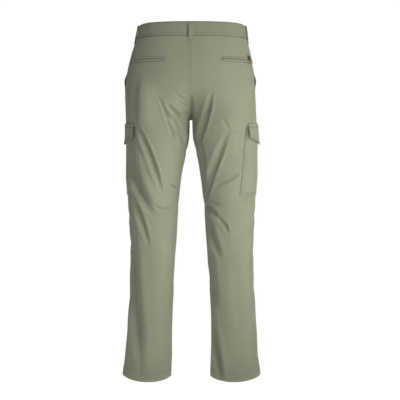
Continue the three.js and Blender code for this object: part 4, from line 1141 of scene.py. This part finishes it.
pocket_threads = []
for side, side_name in SIDE_NAMES.items():
    for part, top in (("upper", JET_TOP), ("lower", JET_MOUTH)):
        down = np.array((0.15, 0.5, 1, 1.7, 2.6, 3.75, 4.9, 5.8, 6.5, 7, 7.35))
        t = top - down
        along = edged(np.full(len(t), JET_LENGTH), (0.1, 0.5, 1.2, 2.2), spacing=2.6)
        s = from_seat_seam(side, t, along + JET_START[side])
        rows = np.repeat(t[:, None], s.shape[1], axis=1)
        mouth_side = (JET_TALL - down) if part == "upper" else down
        edge = np.minimum(along, JET_LENGTH - along)
        roll = 1.5 * bump(mouth_side - 2.2, 2.6, 4) + 0.55
        roll = roll[:, None] - 0.6 * bump(edge, 0.8)
        roll = roll + 0.1 * wave(along, 9, 2 if part == "upper" else 0)
        outer, n = laid_on(side, s, rows, LAID + roll)
        inner, _ = laid_on(side, s, rows, 0.25)
        # Painted shade in the mouth, where the jet meets the panel and at its ends; the rounded crest is rubbed pale.
        tone = 0.5 * bump(mouth_side - 3, 1.4) - 1.3 * bump(mouth_side, 1.7)
        tone = tone - 0.9 * bump(JET_TALL - mouth_side, 1.6)
        tone = tone[:, None] - 0.9 * bump(edge, 1.4)
        name = f"back_jet_{part}_{side_name}"
        cloth_shell(name, outer, inner, rows, along, tone, twill)
    ends = (JET_START[side] - FRAME_OUT - FRAME_INNER, JET_START[side] + JET_LENGTH + FRAME_OUT)
    for t in (JET_TOP + FRAME_OUT, JET_BOTTOM - FRAME_OUT):
        s = from_seat_seam(side, np.array([t]), np.arange(*ends, 1.0)[None])
        path, n = laid_on(side, s, t, FRAME_LIFT)
        pocket_threads.append(stitched(path[0], n[0]))
    for along in ends:
        t = np.arange(JET_TOP + FRAME_OUT, JET_BOTTOM - FRAME_OUT, -0.8)
        s = from_seat_seam(side, t, np.full((len(t), 1), along))
        path, n = laid_on(side, s, t[:, None], FRAME_LIFT)
        pocket_threads.append(stitched(path[:, 0], n[:, 0]))
        pocket_threads.append(bar_tack(path[len(t) // 2, 0], path[-1, 0] - path[0, 0], n[len(t) // 2, 0], length=14))
pocket_stitching = stitching("back_pocket_stitching", pocket_threads)

# Leather tab
# A plain brown leather tab lies over the outer end of the right back pocket. It is darker in its upper part, and
# stitched down both sides and along its lower edge.
TAB_FROM = 184
TAB_TOP = -46
TAB_LENGTH = 24
TAB_WIDTH = 14
TAB_THICK = 1.5
# The tab turns from tan to dark brown upwards between these two heights.
TAB_DARK_FROM = -0.0635  # metres
TAB_DARK_FULL = -0.0585
leather, add, link = made_material("leather")
hide = add("BsdfPrincipled", {"Roughness": 0.5})
place = add("TexCoord")
grain = add("TexVoronoi", {"Scale": 900})
height_on_tab = add("SeparateXYZ")
darker_above = add("MapRange", {"From Min": TAB_DARK_FROM, "From Max": TAB_DARK_FULL}, interpolation_type="SMOOTHSTEP")
hide_colour = add("Mix", {"A": (0.25, 0.13, 0.06, 1), "B": (0.028, 0.018, 0.01, 1)}, data_type="RGBA")
hide_relief = add("Bump", {"Strength": 0.4, "Distance": 0.0002})
link(place, "Object", height_on_tab, "Vector")
link(height_on_tab, "Z", darker_above, "Value")
link(darker_above, "Result", hide_colour, "Factor")
link(hide_colour, "Result", hide, "Base Color")
link(place, "Object", grain, "Vector")
link(grain, "Distance", hide_relief, "Height")
link(hide_relief, "Normal", hide, "Normal")
link(hide, "BSDF", add("OutputMaterial"), "Surface")

drop = np.array((0, 0.4, 1, 1.8, 3, 5, 7, 9, 11, 13, 15, 17, 19, 21, 22.4, 23.1, 23.6, TAB_LENGTH))
wide = np.array((0, 0.4, 1, 1.8, 3, 5, 7, 9, 11, 12.2, 13, 13.6, TAB_WIDTH))
s = from_seat_seam(-1, TAB_TOP - drop, np.tile(TAB_FROM + wide, (len(drop), 1)))
rows = np.repeat((TAB_TOP - drop)[:, None], len(wide), axis=1)
edge = np.minimum(np.minimum(wide, TAB_WIDTH - wide)[None, :], np.minimum(drop, TAB_LENGTH - drop)[:, None])
lift = 0.6 + 1.6 * bump(rows - JET_MOUTH, 9, 6)
thick = TAB_THICK - 0.7 * bump(edge, 0.5) - 0.2 * bump(edge - 1.8, 0.4)
outer, n = laid_on(-1, s, rows, lift + thick)
inner, _ = laid_on(-1, s, rows, lift)
tab = cloth_shell("back_pocket_tab", outer, inner, wide, rows, 0, leather)
tab_stitching = stitching("tab_stitching", [
    stitched(outer[at], n[at], length=2, gap=0.7)
    for at in (np.s_[3:-3, 3], np.s_[3:-3, -4], np.s_[-5, 3:-3])
])

# Cargo pockets
# A flat patch of twill over each outseam on the thigh, turned in all round and topstitched twice to the leg.
# It bellies a little off the leg in the middle.
POCKET_MIDDLE = {1: -4, -1: 4}
POCKET_WIDTH = 192
POCKET_TOP = -258
POCKET_BOTTOM = -458
POCKET_THICK = 1.5
EDGE_STITCH = 1.8
POCKET_STITCH = 6.9
POCKET_EDGE = (0, 0.35, 0.8, 1.3, EDGE_STITCH, 2.4, 3.6, 5, 6.2, POCKET_STITCH, 7.6, 9, 11.4)
CARGO_STITCHES = (4, 9)  # columns of the stitches on the pockets and the flaps


def side_place(side, across, t):
    """Position over the outer side: `across` is a length along the cloth, positive towards the back."""
    return along_row(side, t, (across + POCKET_MIDDLE[side]) / side_radius(side, t))


def edge_stitches(outer, out):
    """Two rows of stitches down both sides and along the lower edge of a grid."""
    rows = []
    for k in CARGO_STITCHES:
        rows.append(stitched(outer[:-k, k], out[:-k, k]))
        rows.append(stitched(outer[:-k, -1 - k], out[:-k, -1 - k]))
        rows.append(stitched(outer[-1 - k, k:-k], out[-1 - k, k:-k]))
    return rows


cargo_threads = []
for side, side_name in SIDE_NAMES.items():
    across = edged([POCKET_WIDTH], POCKET_EDGE, spacing=3.2)[0]
    down = edged([POCKET_TOP - POCKET_BOTTOM], POCKET_EDGE, spacing=3.2)[0]
    a, t = np.meshgrid(across, POCKET_TOP - down)
    below = t - POCKET_BOTTOM
    edge = np.minimum(np.minimum(a, POCKET_WIDTH - a), below)
    belly = 2.2 * ease(edge / 60) * ease((POCKET_TOP - t) / 40)
    height = POCKET_THICK + belly - 0.9 * bump(edge, 0.6)
    height = height - 0.35 * bump(edge - EDGE_STITCH, GROOVE_WIDTH)
    height = height - 0.35 * bump(edge - POCKET_STITCH, GROOVE_WIDTH)
    height = height + 0.25 * (1 - ease((edge - 7.2) / 1.5))
    puckers = wave(a + t, 12.5) + 0.5 * wave(a - 1.3 * t, 19)
    height = height + 0.2 * puckers * bump(edge - 4, 4)
    s = side_place(side, a - POCKET_WIDTH / 2, t)
    outer, n = laid_on(side, s, t, LAID + height)
    inner, _ = laid_on(side, s, t, LAID + 0.9 * belly)
    out = grid_facing(outer, n)
    # Rubbed pale along the folded edge; painted shade at the very edge, along the stitches and over the top, as a
    # painted shadow under the flap.
    tone = 0.5 * bump(edge - 1, 0.8) + 0.35 * bump(edge - 4.3, 1.5)
    tone = tone - 0.8 * bump(edge, 0.5) - 0.5 * bump(edge - POCKET_STITCH, 1.1)
    tone = tone - 0.5 * bump(edge - 2, 0.7) - 0.8 * ease((t - POCKET_TOP + 46) / 30)
    cloth_shell(f"cargo_pocket_{side_name}", outer, inner, a, t, tone, twill)
    cargo_threads += edge_stitches(outer, out)

# Cargo flaps
# A doubled flap closes each cargo pocket. It is sewn down along a raised band at its top, topstitched round its
# other edges, and stands off the pocket towards its blunt point.
FLAP_WIDTH = 178
FLAP_CORNER_WIDTH = 162
FLAP_TOP = -243
FLAP_TILT = 6
FLAP_SIDE = 41
FLAP_TIP = 64
FLAP_THICK = 2.4
FLAP_LIFT = 3.5
FLAP_STEP = 14
FLAP_CURL = 1.4
FLAP_BAND = 9.6
FLAP_STITCH = 6.2
FLAP_EDGE = (0, 0.35, 0.8, 1.3, EDGE_STITCH, 2.4, 3.6, 4.9, 5.6, FLAP_STITCH, 6.8, 8, 10)
FLAP_TACKS = (5, -6)
FLAP_TOP_EDGE = (0, 0.35, 0.9, 1.6, 2.4, 4, 6, 8, 8.9, FLAP_BAND, 10.4, 11.6, 13)

for side, side_name in SIDE_NAMES.items():
    centre = edged([FLAP_TIP], FLAP_EDGE, spacing=3)[0]
    frac = centre / FLAP_TIP
    width = FLAP_WIDTH + (FLAP_CORNER_WIDTH - FLAP_WIDTH) * frac
    a = edged(width, FLAP_EDGE, spacing=3) - width[:, None] / 2
    u = 2 * a / width[:, None]
    fall = FLAP_TIP + (FLAP_SIDE - FLAP_TIP) * np.abs(u) ** 1.15
    near_top = np.asarray(FLAP_TOP_EDGE)
    near_end = np.asarray(FLAP_EDGE)[::-1]
    count = len(centre) - len(near_top) - len(near_end)
    share = np.arange(1, count + 1)[:, None] / (count + 1)
    first, last = near_top[-1], fall[-1:, :] - near_end[0]
    down = np.vstack((
        np.repeat(near_top[:, None], a.shape[1], axis=1),
        first + (last - first) * share,
        fall[-1:, :] - near_end[:, None],
    ))
    t = FLAP_TOP - FLAP_TILT * u - down
    from_sides = width[:, None] / 2 - np.abs(a)
    from_low = (fall - down) * 0.96
    edge = np.minimum(from_sides, from_low)
    over_pocket = (0.9 + POCKET_THICK) * ease(down / FLAP_STEP)
    stand = FLAP_LIFT * np.clip(down / FLAP_TIP, 0, 1.4) ** FLAP_CURL
    sway = 0.7 * np.sin(u * 5.2 + 0.6) * ease(down / FLAP_TIP)
    curl = 1.6 * bump(edge, 9) * ease(down / 20)
    lift = LAID + over_pocket + stand + sway + curl
    raised = 0.9 * (1 - ease((down - FLAP_BAND + 0.4) / 1.2)) - 0.4 * bump(down - FLAP_BAND, 0.7)
    grooves = -0.35 * bump(edge - EDGE_STITCH, GROOVE_WIDTH) - 0.4 * bump(edge - FLAP_STITCH, 0.65)
    thick = FLAP_THICK + raised + grooves - 1.0 * bump(np.minimum(edge, down + 0.3), 0.55)
    puckers = wave(a + down, 13) + 0.5 * wave(a - down, 21)
    thick = thick + 0.16 * puckers * bump(edge - 4, 3.5)
    s = side_place(side, a, t)
    outer, n = laid_on(side, s, t, lift + thick)
    inner, _ = laid_on(side, s, t, lift)
    out = grid_facing(outer, n)
    # Rubbed pale along the edges and the raised band; painted shade below the band, at the sewn top edge, along the
    # stitches and at the very edge.
    tone = 0.9 * bump(edge - 1, 1.2) + 0.4 * bump(down - 5, 3)
    tone = tone - 0.9 * bump(down - FLAP_BAND - 0.6, 1.2) - 0.6 * bump(down, 1.2)
    tone = tone - 0.6 * bump(edge - FLAP_STITCH, 1.0) - 0.9 * bump(edge, 0.3)
    cloth_shell(f"cargo_flap_{side_name}", outer, inner, a, t, tone, twill)
    cargo_threads += edge_stitches(outer, out)
    for k in CARGO_STITCHES:
        cargo_threads.append(stitched(outer[k, 4:-4], out[k, 4:-4]))
    for k in FLAP_TACKS:
        cargo_threads.append(bar_tack(outer[6, k], outer[8, k] - outer[4, k], out[6, k], length=9))
stitching("cargo_stitching", cargo_threads)

# Fly
# The turned edge of the left front covers the zip. It passes the centre front and is held by two curved rows of
# stitches, with a bar tack at the foot of the opening.
FLY_WIDTH = 38
FLY_TOP = 5.8
FLY_BOTTOM = -168
FLY_THICK = 1.2
FLY_STITCHES = (-4, -6)


def front_cloth(x, t, height):
    """Points at a height over the front, by their distance from the middle towards the wearer's left."""
    points, normals = np.empty((2, *x.shape, 3))
    s_line = np.linspace(0, FRONT_SHARE, 300)
    for side in (1, -1):
        lines = np.abs(smooth_cloth(side, s_line, t[:, :1])[..., 0])
        s = np.stack([np.interp(np.abs(row), line, s_line) for row, line in zip(x, lines)])
        half = (x >= 0) == (side > 0)
        points[half], normals[half] = laid_on(side, s[half], t[half], height[half])
    return points, normals


bend = FLY_WIDTH + OVERLAP
straight = np.linspace(0, 1, 44)
turns = np.linspace(0, 1, 22)[1:-1] * np.pi / 2
fly_t = FLY_TOP + (FLY_BOTTOM + bend - FLY_TOP) * straight
fly_t = np.concatenate((fly_t, fly_t[-1] - bend * np.sin(turns)))
fly_edge = np.concatenate((np.full(len(straight), FLY_WIDTH), bend * np.cos(turns) - OVERLAP))
across = edged(fly_edge + OVERLAP, (0, 0.4, 0.9, 1.5), spacing=2.6)
x = across - OVERLAP
t = np.repeat(fly_t[:, None], x.shape[1], axis=1)
edge = np.minimum(across, (fly_edge + OVERLAP)[:, None] - across)
height = LAID + FLY_THICK - 0.5 * bump(edge, 0.5) - 0.25 * bump(t - FLY_TOP, 0.8)
height = height + 0.12 * wave(t, 14) * bump(across, 12)
outer, n = front_cloth(x, t, height)
inner, _ = front_cloth(x, t, np.full(x.shape, LAID))
fly = cloth_shell("fly", outer, inner, x, t, 0.7 * bump(across, 1.6), twill)
out = grid_facing(outer, n)
fly_threads = [stitched(outer[:, k], out[:, k]) for k in FLY_STITCHES]
tack_row = len(straight) + 12
fly_threads.append(bar_tack(outer[tack_row, 5], np.array((0.4, 0, 1.0)), out[tack_row, 5], length=11))
fly_stitching = stitching("fly_stitching", fly_threads)

# Zip
# A brass coil zip on a woven tape hangs behind the fly. Its slider sits closed at the top with a small pull.
woven_tape = mottled(
    "zip_tape", {"Roughness": 0.8}, "TexWave", {"Scale": 300}, (0.13, 0.14, 0.09), (0.19, 0.2, 0.14)
).material
brass = mottled(
    "brass", {"Metallic": 1.0}, "TexNoise", {"Scale": 350, "Detail": 4}, (0.2, 0.15, 0.07), (0.42, 0.33, 0.16)
)
dulled = brass.add("MapRange", {"To Min": 0.55, "To Max": 0.3})
brass.link(brass.texture, "Fac", dulled, "Value")
brass.link(dulled, "Result", brass.shader, "Roughness")

slider_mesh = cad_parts["zip_slider"].data
slider_mesh.materials.clear()
slider_mesh.materials.append(brass.material)

ZIP_TOP = -1
ZIP_BOTTOM = -150
ZIP_SINK = 3.9
ZIP_THICK = 0.8
ZIP_WIDTH = 26
TOOTH_PITCH = 1.5
TOOTH_WIDTH = 4.4
x, t = np.meshgrid(np.linspace(-ZIP_WIDTH / 2, ZIP_WIDTH / 2, 19), np.linspace(ZIP_TOP, ZIP_BOTTOM, 61))
bound = 0.15 * bump(ZIP_WIDTH / 2 - np.abs(x), 0.8)
outer, _ = front_cloth(x, t, -ZIP_SINK - bound)
inner, _ = front_cloth(x, t, -ZIP_SINK - ZIP_THICK + bound)
zip_tape = cloth_shell("zip_tape", outer, inner, x, t, 0, woven_tape)
tooth_rows = np.arange(ZIP_TOP - 12, ZIP_BOTTOM + 2, -TOOTH_PITCH)
at = worn_cloth(1, 0, tooth_rows)
out = facing(smooth_cloth, 1, 0.01, tooth_rows)
at = at - out * (ZIP_SINK - 0.1)
reach = np.array((TOOTH_WIDTH / 2, 0, 0))
zip_coil = stitching("zip_coil", [threads(at - reach, at + reach, out, width=1.0)], brass.material)

# Waist button
# A dark olive four-hole button is sewn to the right end of the band and holds the left end closed through a
# stitched buttonhole.
horn = mottled(
    "button",
    {"Roughness": 0.32, "Coat Weight": 0.2},
    "TexNoise",
    {"Scale": 160, "Distortion": 1.2},
    (0.07, 0.07, 0.045),
    (0.13, 0.125, 0.08),
).material
button_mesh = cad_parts["waist_button"].data
button_mesh.materials.clear()
button_mesh.materials.append(horn)

BUTTON_X = 17
BUTTON_Z = 26.5
BUTTON_THICK = 3
HOLE_SPREAD = 2.1
BUTTONHOLE_REACH = 12.5
BUTTONHOLE_SPREAD = 1.9
seat_s = front_place(1, BUTTON_X, 0)
seat = smooth_cloth(1, seat_s, BUTTON_Z)
seat_out = facing(smooth_cloth, 1, seat_s, BUTTON_Z)
up = unit(np.array((0, 0, 1.0)) - seat_out * seat_out[2])
over = np.cross(up, seat_out)
face = seat + seat_out * (BAND_PROUD + LOOP_CLEAR + BUTTON_THICK - 0.9)
button_threads = []
for k in (-0.35, 0, 0.35):
    for slant in (1, -1):
        start = face + (over * (HOLE_SPREAD + k) + up * slant * (HOLE_SPREAD - k))
        end = face - (over * (HOLE_SPREAD - k) + up * slant * (HOLE_SPREAD + k))
        button_threads.append(threads(start[None], end[None], seat_out[None], width=0.55))
ring = np.linspace(0, 2 * np.pi, 60)[:, None]
hole_line = seat + over * (1 + BUTTONHOLE_REACH * np.cos(ring)) + up * BUTTONHOLE_SPREAD * np.sin(ring)
hole_line = hole_line + seat_out * (BAND_PROUD + 0.15)
radial = unit(over * 0.25 * np.cos(ring) + up * np.sin(ring))
outs = np.repeat(seat_out[None], 60, axis=0)
button_threads.append(threads(hole_line - radial * 0.9, hole_line + radial * 0.9, outs, width=0.6))
button_stitching = stitching("button_stitching", button_threads)

# Cloth cut
# The loop below does nothing: the flat sizes of the pieces are not measured here.
for side in (1, -1):
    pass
